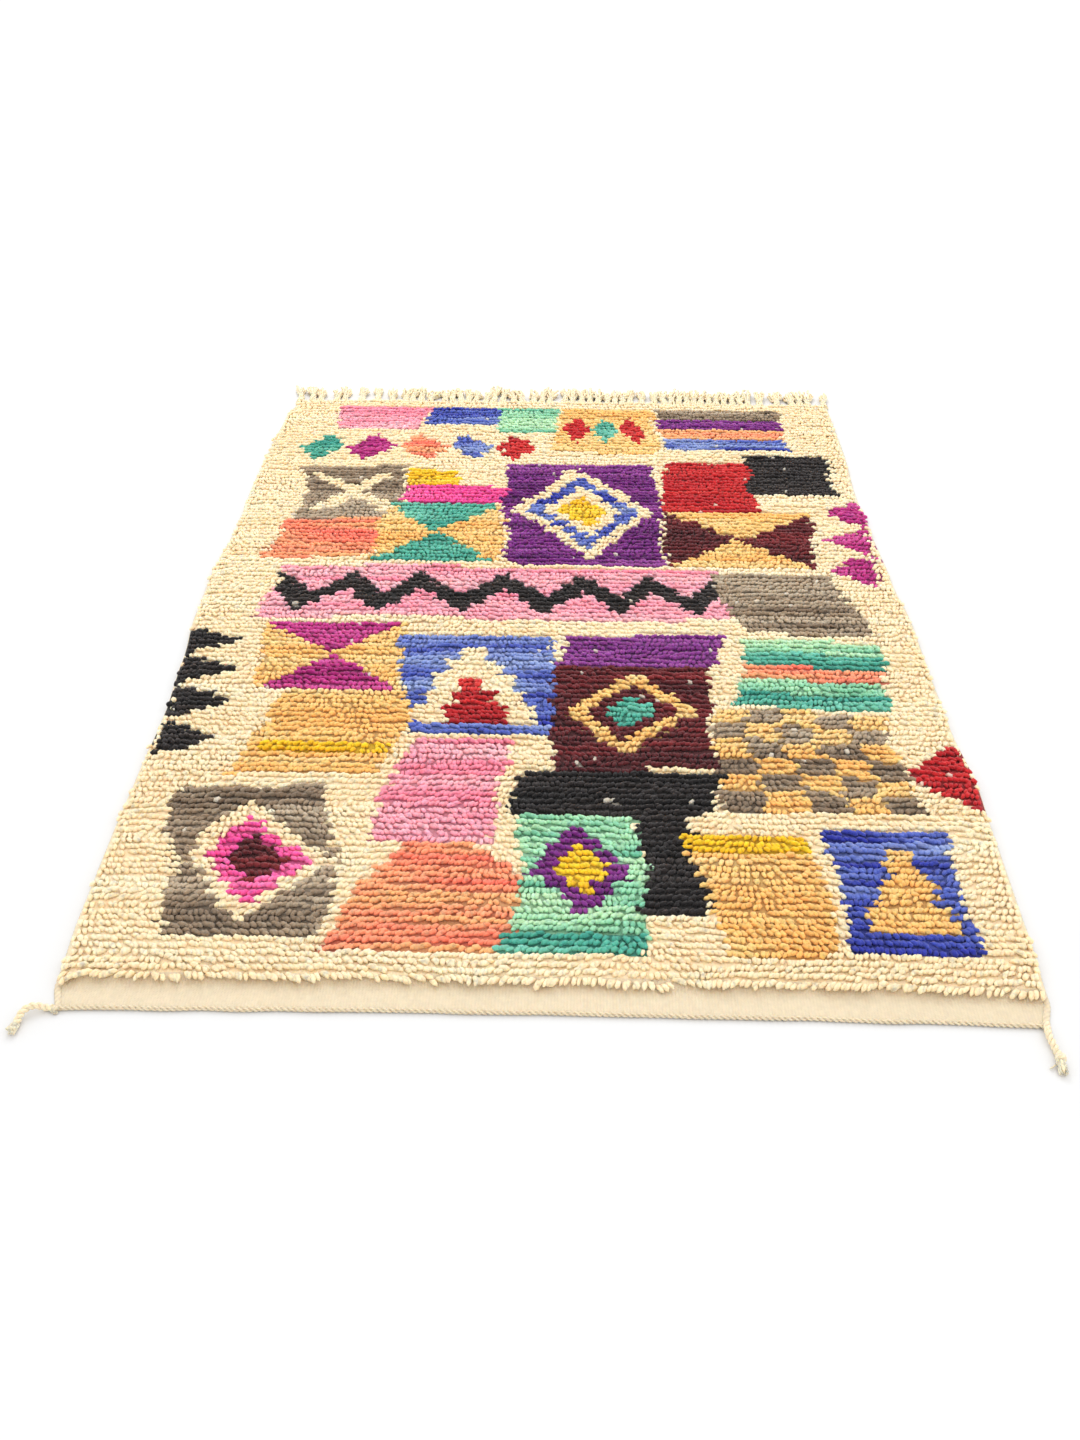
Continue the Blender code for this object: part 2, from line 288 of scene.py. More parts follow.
def yarn_piece(name, bm, material):
    """Closes a mesh of yarns and makes it a piece of the rug."""
    close_yarns(bm)
    return add_piece(name, mesh_of(name, bm), material)


# %% [markdown]
# ## Wool
#
# Wool looks soft because it has no clear highlight: light is scattered by thousands of fibres. The shader is
# rough all over, has little specular and a little sheen, which lifts the edges as loose fibres do. A noise
# mottles the colour, because each fibre takes the dye differently. Relief comes from a bump, of two kinds.
# Yarn has the ribs of its plies, a sine that winds around the UV map. Weave has warps and wefts, two sines
# at right angles on Object coordinates. The same ribs also darken the colour a little in their grooves,
# which is painted shade. An image could hold all this, but nodes stay sharp at any distance.


# %% Helpers for nodes
def add_node(tree, kind, inputs=(), **settings):
    """A shader node with its settings and the values or links of its inputs."""
    node = tree.nodes.new(kind)
    for name, value in settings.items():
        setattr(node, name, value)
    for key, value in dict(inputs).items():
        if isinstance(value, bpy.types.NodeSocket):
            tree.links.new(value, node.inputs[key])
        else:
            node.inputs[key].default_value = value
    return node


def maths(tree, operation, first, second=0.0):
    return add_node(tree, "ShaderNodeMath", {0: first, 1: second}, operation=operation).outputs[0]


def set_inputs(node, values):
    for name, value in values.items():
        node.inputs[name].default_value = value


def new_material(name):
    """A material with its node tree, its shader and the output for the place on the object."""
    material = bpy.data.materials.new(name)
    material.use_nodes = True
    tree = material.node_tree
    place = tree.nodes.new("ShaderNodeTexCoord").outputs["Object"]
    return material, tree, tree.nodes["Principled BSDF"], place


def sine_of(tree, turns):
    """A sine that goes through one wave for each whole turn."""
    return maths(tree, "SINE", maths(tree, "MULTIPLY", turns, math.tau))


# %% The relief of yarn and of weave
FIBRE_SCALE = 900.0
MOTTLE_SCALE = 110.0


def yarn_relief(plies, lay):
    """Ribs that wind round the yarn, one for each ply, in a turn of one lay."""

    def relief(tree, place):
        uv = add_node(tree, "ShaderNodeUVMap", uv_map="yarn").outputs["UV"]
        parts = add_node(tree, "ShaderNodeSeparateXYZ", {0: uv})
        wound = maths(tree, "MULTIPLY", parts.outputs["X"], plies)
        drawn = maths(tree, "DIVIDE", parts.outputs["Y"], lay)
        return sine_of(tree, maths(tree, "ADD", wound, drawn))

    return relief


def weave_relief(warp, weft):
    """Warps and wefts that cross at these pitches."""

    def relief(tree, place):
        parts = add_node(tree, "ShaderNodeSeparateXYZ", {0: place})
        warps = sine_of(tree, maths(tree, "DIVIDE", parts.outputs["X"], warp))
        wefts = sine_of(tree, maths(tree, "DIVIDE", parts.outputs["Y"], weft))
        crossed = maths(tree, "MULTIPLY", maths(tree, "MULTIPLY", warps, wefts), 0.6)
        return maths(tree, "ADD", maths(tree, "MULTIPLY", warps, 0.4), crossed)

    return relief


# %% The wool materials
RIB_SHARE = 0.35
BUMP_STRENGTH = 0.8
DULL_AND_SOFT = {
    "Roughness": 0.95,
    "Specular IOR Level": 0.12,
    "Sheen Weight": 0.12,
    "Sheen Roughness": 0.6,
    "Subsurface Weight": 0.5,
    "Subsurface Radius": (1.0, 0.7, 0.45),
    "Subsurface Scale": 0.005,
}


def wool(name, relief, depth, colour=None, mottle=(0.90, 1.06), groove_shade=0.05):
    """Dull wool. Without a colour it takes the one that each knot brings in its own attribute, painted shade
    included.
    """
    material, tree, shader, place = new_material(name)
    set_inputs(shader, DULL_AND_SOFT)
    patches = add_node(tree, "ShaderNodeTexNoise", {"Vector": place, "Scale": MOTTLE_SCALE, "Detail": 4.0})
    limits = {"From Min": 0.3, "From Max": 0.7, "To Min": mottle[0], "To Max": mottle[1]}
    mottled = add_node(tree, "ShaderNodeMapRange", {"Value": patches.outputs["Fac"], **limits})
    ribs = relief(tree, place)
    # The colour darkens in the grooves between the ribs: painted shade.
    shaded = maths(tree, "ADD", maths(tree, "MULTIPLY", ribs, groove_shade), 1.0 - groove_shade)
    tone = maths(tree, "MULTIPLY", mottled.outputs["Result"], shaded)
    if colour is None:
        dye = add_node(tree, "ShaderNodeAttribute", attribute_name="yarn_colour_with_painted_shade").outputs["Color"]
    else:
        dye = colour
    dyed = add_node(tree, "ShaderNodeVectorMath", {0: dye, "Scale": tone}, operation="SCALE")
    tree.links.new(dyed.outputs["Vector"], shader.inputs["Base Color"])
    fibres = add_node(tree, "ShaderNodeTexNoise", {"Vector": place, "Scale": FIBRE_SCALE, "Detail": 3.0})
    height = maths(tree, "ADD", maths(tree, "MULTIPLY", ribs, RIB_SHARE), fibres.outputs["Fac"])
    bump = add_node(tree, "ShaderNodeBump", {"Height": height, "Distance": depth, "Strength": BUMP_STRENGTH})
    tree.links.new(bump.outputs["Normal"], shader.inputs["Normal"])
    return material


def linear(red, green, blue):
    """A colour as seen on a screen, 0 to 255, as the light that a surface gives back."""
    share = np.array((red, green, blue)) / 255.0
    return np.where(share <= 0.04045, share / 12.92, ((share + 0.055) / 1.055) ** 2.4)


UNDYED = tuple(linear(229, 212, 182).tolist())
FLUFFY = tuple(linear(248, 228, 190).tolist())
TIE_WHITE = tuple(linear(246, 228, 194).tolist())
pile_wool = wool("pile wool", yarn_relief(2, 0.009), 0.0009)
ground_wool = wool("ground wool", weave_relief(0.0052, 0.0034), 0.0014, mottle=(0.93, 1.03), groove_shade=0.045)
edge_wool = wool("edge wool", yarn_relief(3, 0.010), 0.0008, UNDYED, groove_shade=0.07)
tassel_wool = wool("tassel wool", yarn_relief(2, 0.006), 0.0008, FLUFFY, mottle=(0.90, 1.02), groove_shade=0.04)
tie_wool = wool("tie wool", yarn_relief(3, 0.009), 0.0008, TIE_WHITE, mottle=(0.90, 1.04), groove_shade=0.05)
print("wool materials:", len([pile_wool, ground_wool, edge_wool, tassel_wool, tie_wool]))

# %% [markdown]
# ## The corner ties
#
# At each near corner the warps of the selvedge run on and are twisted into a tie. It is two plies wound
# round each other. A bump could only hint at that, so each ply is a yarn of its own, laid in a helix
# around the tie's route. The routes are the ones that the frame's solids follow.

# %% The ties' routes, in metres from the near corner on that side
TWINING_DEPTH = 0.0057
PLY_RADIUS = 0.0035
PLY_OFFSET = 0.0027
TIE_LAY = 0.021
TIE_STEP = 0.0015
TIE_LOWEST = PLY_RADIUS + PLY_OFFSET + 0.0002
LEFT_CORNER = Vector((float(side_x(NEAR, "left")), NEAR + TWINING_DEPTH / 2.0, 0.0))
RIGHT_CORNER = Vector((float(side_x(NEAR, "right")), NEAR + TWINING_DEPTH / 2.0, 0.0))
LEFT_TIE = (
    (-0.0004, -0.0017, 0.0053),
    (-0.0052, -0.0019, 0.0057),
    (-0.0101, -0.0021, 0.0070),
    (-0.0150, -0.0023, 0.0089),
    (-0.0200, -0.0026, 0.0107),
    (-0.0249, -0.0031, 0.0122),
    (-0.0298, -0.0044, 0.0129),
    (-0.0346, -0.0066, 0.0129),
    (-0.0390, -0.0100, 0.0122),
    (-0.0426, -0.0145, 0.0110),
    (-0.0451, -0.0197, 0.0094),
    (-0.0465, -0.0254, 0.0079),
    (-0.0471, -0.0312, 0.0066),
    (-0.0474, -0.0370, 0.0057),
    (-0.0477, -0.0428, 0.0052),
)
RIGHT_TIE = (
    (-0.0065, 0.0028, 0.0052),
    (-0.0070, -0.0020, 0.0059),
    (-0.0078, -0.0068, 0.0069),
    (-0.0087, -0.0116, 0.0080),
    (-0.0095, -0.0164, 0.0090),
    (-0.0100, -0.0212, 0.0097),
    (-0.0102, -0.0260, 0.0100),
    (-0.0099, -0.0308, 0.0099),
    (-0.0093, -0.0356, 0.0095),
    (-0.0085, -0.0404, 0.0089),
    (-0.0076, -0.0452, 0.0082),
    (-0.0067, -0.0500, 0.0076),
    (-0.0059, -0.0548, 0.0071),
    (-0.0052, -0.0596, 0.0067),
    (-0.0047, -0.0640, 0.0065),
)


# %% Twist the plies
PLIES = 2


def ply_routes(route, offset, lay):
    """The routes of the plies that wind round a shared one."""
    plies = [[] for _ in range(PLIES)]
    travelled = 0.0
    for index, (point, (sideways, upwards)) in enumerate(zip(route, frames_along(route))):
        if index:
            travelled += (point - route[index - 1]).length
        for number, ply in enumerate(plies):
            turn = math.tau * (travelled / lay + number / PLIES)
            ply.append(point + offset * (math.cos(turn) * sideways + math.sin(turn) * upwards))
    return plies


def make_tie(name, corner, points):
    """A tie of two plies, and the route that it follows."""
    route = [corner + point for point in smooth_route(points, TIE_STEP)]
    for point in route:
        point.z = max(point.z, TIE_LOWEST)
    chance = random.Random(len(route))
    bm = start_mesh()
    for ply in ply_routes(route, PLY_OFFSET, TIE_LAY):
        draw_yarn(bm, ply, [PLY_RADIUS * chance.uniform(0.93, 1.04) for _ in ply], sides=9)
    return yarn_piece(name, bm, tie_wool), route


left_tie, left_route = make_tie("left_tie", LEFT_CORNER, LEFT_TIE)
right_tie, right_route = make_tie("right_tie", RIGHT_CORNER, RIGHT_TIE)
print("ties, metres:", round(length_of(left_route), 4), round(length_of(right_route), 4))

# %% [markdown]
# ## The ties' ends
#
# The left tie has come undone at its tip and frays into soft strands. The right one is stopped by a knot,
# with a brush of loose ends behind it and one strand that has escaped. A strand is a thin yarn whose route
# wavers a little. The knot is a yarn wound about twice round the tie, which gives it real folds.


# %% Loose strands and knots
ABOVE_FLOOR = 0.0006
STRAND_TAPER = 0.45


def loose_strand(bm, start, end, radius, wander, chance, rings=7):
    """A thin crinkled strand between two points, which never dips under the floor."""
    route = []
    for index in range(rings):
        share = index / (rings - 1)
        swing = math.sin(math.pi * min(share * 1.5, 1.0) * 0.9)
        stray = chance.uniform(-wander, wander) * swing * Vector((1.0, 0.5, 1.0))
        point = start.lerp(end, share) + stray
        point.z = max(point.z, ABOVE_FLOOR + radius)
        route.append(point)
    radii = [radius * (1.0 - STRAND_TAPER * (index / (rings - 1)) ** 2) for index in range(rings)]
    draw_yarn(bm, route, radii, sides=5)


def wound_knot(bm, centre, way, coil_radius, yarn_radius, turns, pitch, squash, rings=16, start=0.0):
    """A yarn wound round a line through the centre, as the outside of a tied knot."""
    sideways = way.cross(UP).normalized()
    upwards = sideways.cross(way)
    route = []
    for index in range(rings):
        share = index / (rings - 1)
        turn = math.tau * turns * share + start
        reach = coil_radius * (0.82 + 0.18 * math.sin(math.pi * share))
        ring = reach * (math.cos(turn) * sideways + squash * math.sin(turn) * upwards)
        route.append(centre + ring + way * pitch * turns * (share - 0.5))
    draw_yarn(bm, route, [yarn_radius] * rings, sides=7)


# %% Make the ties' ends
END_STRANDS = 13
END_SPREAD = 0.0058
FRAY_STRAND = 0.0040
BRUSH_STRAND = 0.0037
THIN_STRAND = 0.0015
chance = random.Random(41)
left_tip = left_route[-1]
bm = start_mesh()
for _ in range(END_STRANDS):
    aside = chance.uniform(-END_SPREAD, END_SPREAD)
    drop = Vector((aside - 0.0030, chance.uniform(-0.0165, -0.0105), chance.uniform(-0.003, 0.0072)))
    root = left_tip + Vector((0.5 * aside, 0.0045, chance.uniform(-0.0026, 0.0036)))
    loose_strand(bm, root, left_tip + drop, FRAY_STRAND, 0.0008, chance)
left_fray = yarn_piece("left_tie_fray", bm, tie_wool)

right_tip = right_route[-1]
bm = start_mesh()
knot_middle = right_tip + Vector((0.0005, -0.0070, 0.0026))
wound_knot(
    bm,
    knot_middle,
    Vector((0.05, -1.0, 0.0)),
    coil_radius=0.0056,
    yarn_radius=0.0038,
    turns=2.1,
    pitch=0.0040,
    squash=0.85,
)
for _ in range(END_STRANDS):
    aside = chance.uniform(-END_SPREAD, END_SPREAD)
    drop = Vector((aside - 0.0024, chance.uniform(-0.0385, -0.0310), chance.uniform(-0.004, 0.0060)))
    root = right_tip + Vector((0.4 * aside, -0.0060, chance.uniform(-0.0026, 0.0026)))
    loose_strand(bm, root, right_tip + drop, BRUSH_STRAND, 0.0010, chance, rings=9)
right_knot = yarn_piece("right_tie_knot", bm, tie_wool)

bm = start_mesh()
for lift in (0.0, 0.0014):
    root = right_tip + Vector((-0.0020, -0.0125, lift))
    tip = right_tip + Vector((-0.0190, -0.0226 - lift, -0.0045 + lift))
    loose_strand(bm, root, tip, THIN_STRAND, 0.0022, chance, rings=10)
right_strand = yarn_piece("right_tie_strand", bm, tie_wool)

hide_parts("corner_tie_left")
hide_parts("corner_tie_right")
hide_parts("tie_fray_left")
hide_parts("tie_knot_right")
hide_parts("tie_strand_right")

# %% [markdown]
# ## Floor and light
#
# The rug lies in even studio light on a white floor. A bright world lights it from all around, and a wide
# lamp high behind it adds the soft thin shadow that the near edge throws. A floor that is pure white by the
# rug would drown that shadow, so the floor's colour is painted light: it starts a little darker by the rug
# and rises to white a few steps away, as a studio's paper does under lamps of its own.

# %% Make the floor, the world and the lamps
FLOOR_SIZE = 60.0
# The floor's colour is painted light: darker by the rug, whiter a few steps away, in place of lamps on the
# far floor.
FLOOR_NEAR_WHITE = 0.712
FLOOR_FAR_WHITE = 0.86
FLOOR_FADE_START = 1.7
FLOOR_FADE_END = 3.4
WORLD_STRENGTH = 1.24
KEY_WATTS = 55.0
FILL_WATTS = 14.0

bm = bmesh.new()
bmesh.ops.create_grid(bm, x_segments=1, y_segments=1, size=FLOOR_SIZE / 2.0)
floor_mesh = mesh_of("floor", bm)
floor_material, floor_tree, floor_shader, floor_place = new_material("white floor")
from_rug = add_node(floor_tree, "ShaderNodeVectorMath", {0: floor_place}, operation="LENGTH")
fade = {
    "Value": from_rug.outputs["Value"],
    "From Min": FLOOR_FADE_START,
    "From Max": FLOOR_FADE_END,
    "To Min": FLOOR_NEAR_WHITE,
    "To Max": FLOOR_FAR_WHITE,
}
painted_floor_light = add_node(floor_tree, "ShaderNodeMapRange", fade).outputs["Result"]
floor_tree.links.new(painted_floor_light, floor_shader.inputs["Base Color"])
set_inputs(floor_shader, {"Roughness": 1.0, "Specular IOR Level": 0.0})
floor_mesh.materials.append(floor_material)
floor = add_object("floor", floor_mesh)

world = bpy.data.worlds.new("studio")
world.use_nodes = True
set_inputs(world.node_tree.nodes["Background"], {"Color": (1.0, 1.0, 1.0, 1.0), "Strength": WORLD_STRENGTH})
bpy.context.scene.world = world
bpy.context.scene.view_settings.view_transform = "Standard"


def add_lamp(name, place, size, watts):
    """A square soft lamp that faces the rug's middle."""
    data = bpy.data.lights.new(name, "AREA")
    data.size = size
    data.energy = watts
    aim = Vector(place).to_track_quat("Z", "Y").to_matrix().to_4x4()
    add_object(name, data).matrix_world = Matrix.Translation(place) @ aim


add_lamp("key lamp", (-0.8, 2.6, 3.4), 2.4, KEY_WATTS)
add_lamp("fill lamp", (1.6, -1.8, 3.2), 3.0, FILL_WATTS)

# %% [markdown]
# ## The pattern
#
# A weaver works from memory, patch by patch, out of a stock of lozenges, zigzags, checks, steps and crosses.
# The same way of thinking fits code: each motif is a small function that says, for every place inside its
# patch, which of its yarns is used there, or none. A table then lays the patches out, and a later patch
# covers an earlier one. Because the answer is asked once for every knot, the steps in the edges come by
# themselves. This layout is one made up for the lesson.

# %% The dyed yarns, as seen on a screen
YARNS = {
    "cream": (255, 230, 190),
    "black": (40, 35, 35),
    "maroon": (98, 32, 37),
    "taupe": (158, 138, 115),
    "pink": (255, 170, 186),
    "hot_pink": (253, 92, 164),
    "peach": (255, 205, 128),
    "coral": (255, 158, 120),
    "red": (198, 34, 40),
    "mustard": (252, 206, 40),
    "blue": (94, 112, 194),
    "purple": (124, 40, 130),
    "magenta": (190, 48, 132),
    "mint": (172, 226, 182),
    "teal": (84, 176, 154),
}
YARN_NAMES = list(YARNS)
YARN_LIGHT = np.array([linear(*screen) for screen in YARNS.values()])
CREAM = YARN_NAMES.index("cream")

# %% The motifs: each gives the number of the yarn to use, or -1 where the patch beneath shows
NONE = -1


def across_middle(share):
    """0 at the middle of a patch and 1 at its edges."""
    return np.abs(2.0 * share - 1.0)


def block(u, v, count):
    return np.zeros(u.shape, int)


def stripes(u, v, count):
    return (v * count).astype(int)


def lozenge(u, v, count):
    depth = 1.0 - across_middle(u) - across_middle(v)
    return np.where(depth > 0.0, np.minimum((depth * count * 1.15).astype(int), count - 1), NONE)


def lozenge_row(u, v, count):
    inside = across_middle(u * count % 1.0) * 1.05 + across_middle(v) < 1.0
    return np.where(inside, (u * count).astype(int), NONE)


def hourglass(u, v, count):
    return np.where(across_middle(u) < across_middle(v), 1, 0)


def bow(u, v, count):
    return np.where(across_middle(v) < across_middle(u), 0, 1)


def check(u, v, count):
    return ((u * count).astype(int) + (v * (count + 1)).astype(int)) % 2


def zigzag(u, v, count):
    centre = 0.27 + 0.46 * across_middle(u * count % 1.0)
    return np.where(np.abs(v - centre) < 0.17, 1, 0)


def stepped(u, v, count):
    return np.where(across_middle(u) < 1.0 - np.floor(v * count) / count, 0, NONE)


def sawtooth(u, v, count):
    return np.where(u < 1.0 - across_middle(v * count % 1.0), 0, NONE)


def saltire(u, v, count):
    return np.where(np.abs(across_middle(u) - across_middle(v)) < 0.27, 0, NONE)


def wedge(u, v, count):
    return np.where(across_middle(v) < u, 0, NONE)


def roof(u, v, count):
    return np.where(across_middle(u) + 1.5 * np.clip(v - 0.6, 0.0, 0.4) < 1.0, 0, NONE)


# %% The layout: metres across from the middle and along from the pile's near edge
Patch = namedtuple("Patch", "motif yarns left near right far count lean", defaults=(1, 0.0))
PATCHES = (
    Patch(block, ("taupe",), -0.67, 0.10, -0.39, 0.52, lean=-0.03),
    Patch(lozenge, ("cream", "hot_pink", "maroon"), -0.675, 0.13, -0.415, 0.48, 3),
    Patch(roof, ("coral",), -0.38, 0.06, -0.09, 0.36, lean=0.03),
    Patch(block, ("pink",), -0.34, 0.36, -0.12, 0.68, lean=0.05),
    Patch(block, ("peach",), -0.60, 0.56, -0.34, 0.84, lean=0.04),
    Patch(block, ("mustard",), -0.56, 0.63, -0.34, 0.665),
    Patch(block, ("mint",), -0.09, 0.06, 0.14, 0.44, lean=0.02),
    Patch(block, ("teal",), -0.09, 0.06, 0.14, 0.115),
    Patch(lozenge, ("purple", "mustard"), -0.065, 0.15, 0.125, 0.41, 2),
    Patch(block, ("black",), 0.14, 0.17, 0.25, 0.46, lean=0.03),
    Patch(block, ("black",), -0.09, 0.44, 0.31, 0.57, lean=0.04),
    Patch(block, ("peach",), 0.27, 0.06, 0.47, 0.34, lean=-0.03),
    Patch(block, ("mustard",), 0.25, 0.34, 0.45, 0.39),
    Patch(block, ("blue",), 0.49, 0.09, 0.71, 0.41, lean=-0.02),
    Patch(stepped, ("peach",), 0.52, 0.13, 0.68, 0.34, 3),
    Patch(wedge, ("red",), 0.665, 0.46, 0.785, 0.70),
    Patch(check, ("taupe", "peach"), 0.34, 0.46, 0.67, 0.79, 5),
    Patch(sawtooth, ("black",), -0.785, 0.62, -0.665, 1.10, 4),
    Patch(hourglass, ("peach", "magenta"), -0.63, 0.84, -0.33, 1.13),
    Patch(block, ("blue",), -0.31, 0.69, 0.02, 1.07, lean=-0.03),
    Patch(stepped, ("cream",), -0.31, 0.73, -0.03, 1.02, 5),
    Patch(stepped, ("red",), -0.24, 0.73, -0.10, 0.90, 3),
    Patch(block, ("maroon",), 0.02, 0.58, 0.34, 0.94, lean=-0.02),
    Patch(lozenge, ("peach", "maroon", "teal"), 0.03, 0.63, 0.30, 0.92, 3),
    Patch(block, ("purple",), 0.01, 0.94, 0.34, 1.08, lean=0.02),
    Patch(stripes, ("teal", "mint", "coral", "teal", "mint"), 0.38, 0.80, 0.68, 1.07, 5, 0.03),
    Patch(zigzag, ("pink", "black"), -0.66, 1.15, 0.40, 1.38, 6),
    Patch(block, ("taupe",), 0.41, 1.10, 0.71, 1.36, lean=-0.03),
    Patch(block, ("coral",), -0.70, 1.42, -0.45, 1.62, lean=0.03),
    Patch(block, ("taupe",), -0.66, 1.62, -0.41, 1.92),
    Patch(saltire, ("cream",), -0.635, 1.66, -0.435, 1.88),
    Patch(hourglass, ("peach", "teal"), -0.44, 1.40, -0.14, 1.70),
    Patch(block, ("hot_pink",), -0.40, 1.70, -0.12, 1.80),
    Patch(block, ("mustard",), -0.40, 1.80, -0.27, 1.90),
    Patch(block, ("purple",), -0.13, 1.40, 0.27, 1.95),
    Patch(lozenge, ("cream", "blue", "cream", "mustard"), -0.11, 1.42, 0.25, 1.93, 4),
    Patch(bow, ("maroon", "peach"), 0.28, 1.40, 0.64, 1.68),
    Patch(block, ("red",), 0.27, 1.68, 0.51, 1.97, lean=0.04),
    Patch(block, ("black",), 0.51, 1.78, 0.73, 2.03),
    Patch(sawtooth, ("magenta",), 0.775, 1.32, 0.67, 1.76, 3),
    Patch(lozenge_row, ("teal", "magenta", "coral", "blue", "red"), -0.70, 1.97, -0.06, 2.13, 5),
    Patch(block, ("pink",), -0.66, 2.17, -0.38, 2.33, lean=0.02),
    Patch(block, ("blue",), -0.36, 2.20, -0.17, 2.33),
    Patch(block, ("mint",), -0.17, 2.16, -0.02, 2.33),
    Patch(block, ("peach",), -0.02, 2.03, 0.28, 2.33, lean=0.01),
    Patch(lozenge_row, ("red", "teal", "red"), 0.00, 2.09, 0.26, 2.28, 3),
    Patch(stripes, ("blue", "coral", "purple", "taupe"), 0.30, 2.06, 0.64, 2.33, 4),
)
WARP_ACROSS = 0.026
WARP_ALONG = 0.014
ROW_TOOTH = 0.45
BELOW_ONE = 0.999

# %% Ask the pattern for every knot's yarn
KNOT_ROWS = 140
KNOT_COLUMNS = 195
PATTERN_WIDTH = 1.60
PILE_LENGTH = FAR - PILE_START
ROW_PITCH = PILE_LENGTH / KNOT_ROWS
KNOT_PITCH = PATTERN_WIDTH / KNOT_COLUMNS
rng = np.random.default_rng(3)
row_numbers, column_numbers = np.meshgrid(np.arange(KNOT_ROWS), np.arange(KNOT_COLUMNS), indexing="ij")


def chart_knots():
    """The number of the yarn that each knot is tied from."""
    row_teeth = np.where(np.arange(KNOT_ROWS) % 2 == 0, ROW_TOOTH, -ROW_TOOTH) * KNOT_PITCH
    wander = np.cumsum(rng.normal(0.0, 0.0008, KNOT_ROWS)) + rng.normal(0.0, 0.0020, KNOT_ROWS)
    x = ((column_numbers + 0.5) / KNOT_COLUMNS - 0.5) * PATTERN_WIDTH + (row_teeth + wander)[:, None]
    y = (row_numbers + 0.5) * ROW_PITCH
    across = x + 0.4 * KNOT_PITCH * soft_noise(x, y, (0.05, 0.03), 12)
    across = across + WARP_ACROSS * soft_noise(x, y, (0.30, 0.22), 13)
    y = y + WARP_ALONG * soft_noise(x, y, (0.36, 0.30), 14)
    chart = np.full(x.shape, CREAM)
    for patch in PATCHES:
        v = (y - patch.near) / (patch.far - patch.near)
        u = (across - patch.left - patch.lean * v) / (patch.right - patch.left)
        inside = (u > 0.0) & (u < 1.0) & (v > 0.0) & (v < 1.0)
        choice = patch.motif(np.clip(u, 0.0, BELOW_ONE), np.clip(v, 0.0, BELOW_ONE), patch.count)
        numbers = np.array([YARN_NAMES.index(name) for name in patch.yarns])
        used = inside & (choice != NONE)
        chart[used] = numbers[choice[used] % len(numbers)]
    return chart


chart = chart_knots()
is_cream = chart == CREAM
for number, name in enumerate(YARN_NAMES):
    print(f"{name}: {100.0 * np.mean(chart == number):.1f}% of the knots")

# %% [markdown]
# ## Colour, knot by knot
#
# Hand-dyed wool is never even. Where the weaver starts a new hank the shade jumps, and because the rows run
# across, the jumps show as streaks along the rows. This is called abrash. Here each yarn has a second and a
# third shade, and a noise stretched along the rows blends them in. Every knot then gets a small change
# of its own, and a few dark ones let a pale fleck of the ground through.

# %% The shades that a yarn streaks into
Shade = namedtuple("Shade", "paler deeper blend")
SHADES = {
    "cream": Shade((255, 240, 208), (248, 223, 178), 0.5),
    "black": Shade((58, 51, 49), (20, 18, 19), 0.7),
    "maroon": Shade((136, 42, 46), (70, 22, 28), 0.8),
    "taupe": Shade((190, 172, 148), (120, 102, 84), 0.9),
    "pink": Shade((255, 192, 198), (248, 138, 162), 0.9),
    "hot_pink": Shade((255, 130, 182), (232, 62, 146), 0.7),
    "peach": Shade((255, 220, 158), (250, 184, 100), 0.7),
    "coral": Shade((255, 184, 126), (255, 122, 102), 1.0),
    "red": Shade((216, 56, 54), (158, 22, 32), 0.9),
    "mustard": Shade((255, 220, 84), (234, 178, 22), 0.7),
    "blue": Shade((146, 164, 214), (46, 56, 162), 1.0),
    "purple": Shade((154, 76, 156), (88, 22, 98), 0.8),
    "magenta": Shade((212, 84, 156), (150, 26, 106), 0.8),
    "mint": Shade((194, 234, 190), (112, 192, 158), 1.0),
    "teal": Shade((122, 202, 178), (48, 146, 130), 0.9),
}
STREAK_SIZE = (0.34, 0.024)
DYED_CHANGE = 0.055
CREAM_CHANGE = 0.025
FLECK_CHANCE = 0.006
FLECK_SHARE = 0.7
FLECKED = ("black", "maroon", "purple", "taupe", "blue", "red", "magenta")
FLECK = linear(232, 222, 204)


def knot_colours():
    """The colour of every knot, as linear light."""
    x = (column_numbers + 0.5) * KNOT_PITCH
    y = (row_numbers + 0.5) * ROW_PITCH
    streaks = soft_noise(x, y, STREAK_SIZE, 31) + 0.55 * soft_noise(x, y, (0.11, 0.017), 32)
    broad = soft_noise(x, y, (0.6, 0.19), 33)
    streaks = np.clip(1.15 * streaks + 0.45 * broad, -1.0, 1.0)
    colours = YARN_LIGHT[chart]
    for number, name in enumerate(YARN_NAMES):
        shade = SHADES[name]
        paler = (np.clip(streaks, 0.0, 1.0) * shade.blend)[..., None]
        deeper = (np.clip(-streaks, 0.0, 1.0) * shade.blend)[..., None]
        base = YARN_LIGHT[number]
        mixed = base + paler * (linear(*shade.paler) - base) + deeper * (linear(*shade.deeper) - base)
        colours = np.where((chart == number)[..., None], mixed, colours)
    change = np.where(is_cream, CREAM_CHANGE, DYED_CHANGE)
    tone = 1.0 + change * rng.normal(0.0, 1.0, chart.shape)
    warmth = 1.0 + rng.normal(0.0, 0.02, chart.shape)
    colours = colours * tone[..., None] * np.stack([np.ones(chart.shape), warmth, warmth**2], axis=-1)
    dark = np.isin(chart, [YARN_NAMES.index(name) for name in FLECKED])
    fleck = dark & (rng.random(chart.shape) < FLECK_CHANCE)
    colours[fleck] = (1.0 - FLECK_SHARE) * colours[fleck] + FLECK_SHARE * FLECK
    print("pale flecks:", int(fleck.sum()))
    return np.clip(colours, 0.0, 1.0)


colours = knot_colours()

# %% [markdown]
# ## One tuft
#
# The pile is one small shape repeated. A tuft starts thin at its knot, swells and ends round. It is drawn as
# a yarn with five sides, which smooth shading turns round. The tip comes from poking its last cap. With so
# many copies every face counts: this one has 28 triangles.

# %% Model the tuft along +Z, with its height as a share from 0 to 1
TUFT_SIDES = 5
TUFT_RINGS = (0.0, 0.44, 0.80)


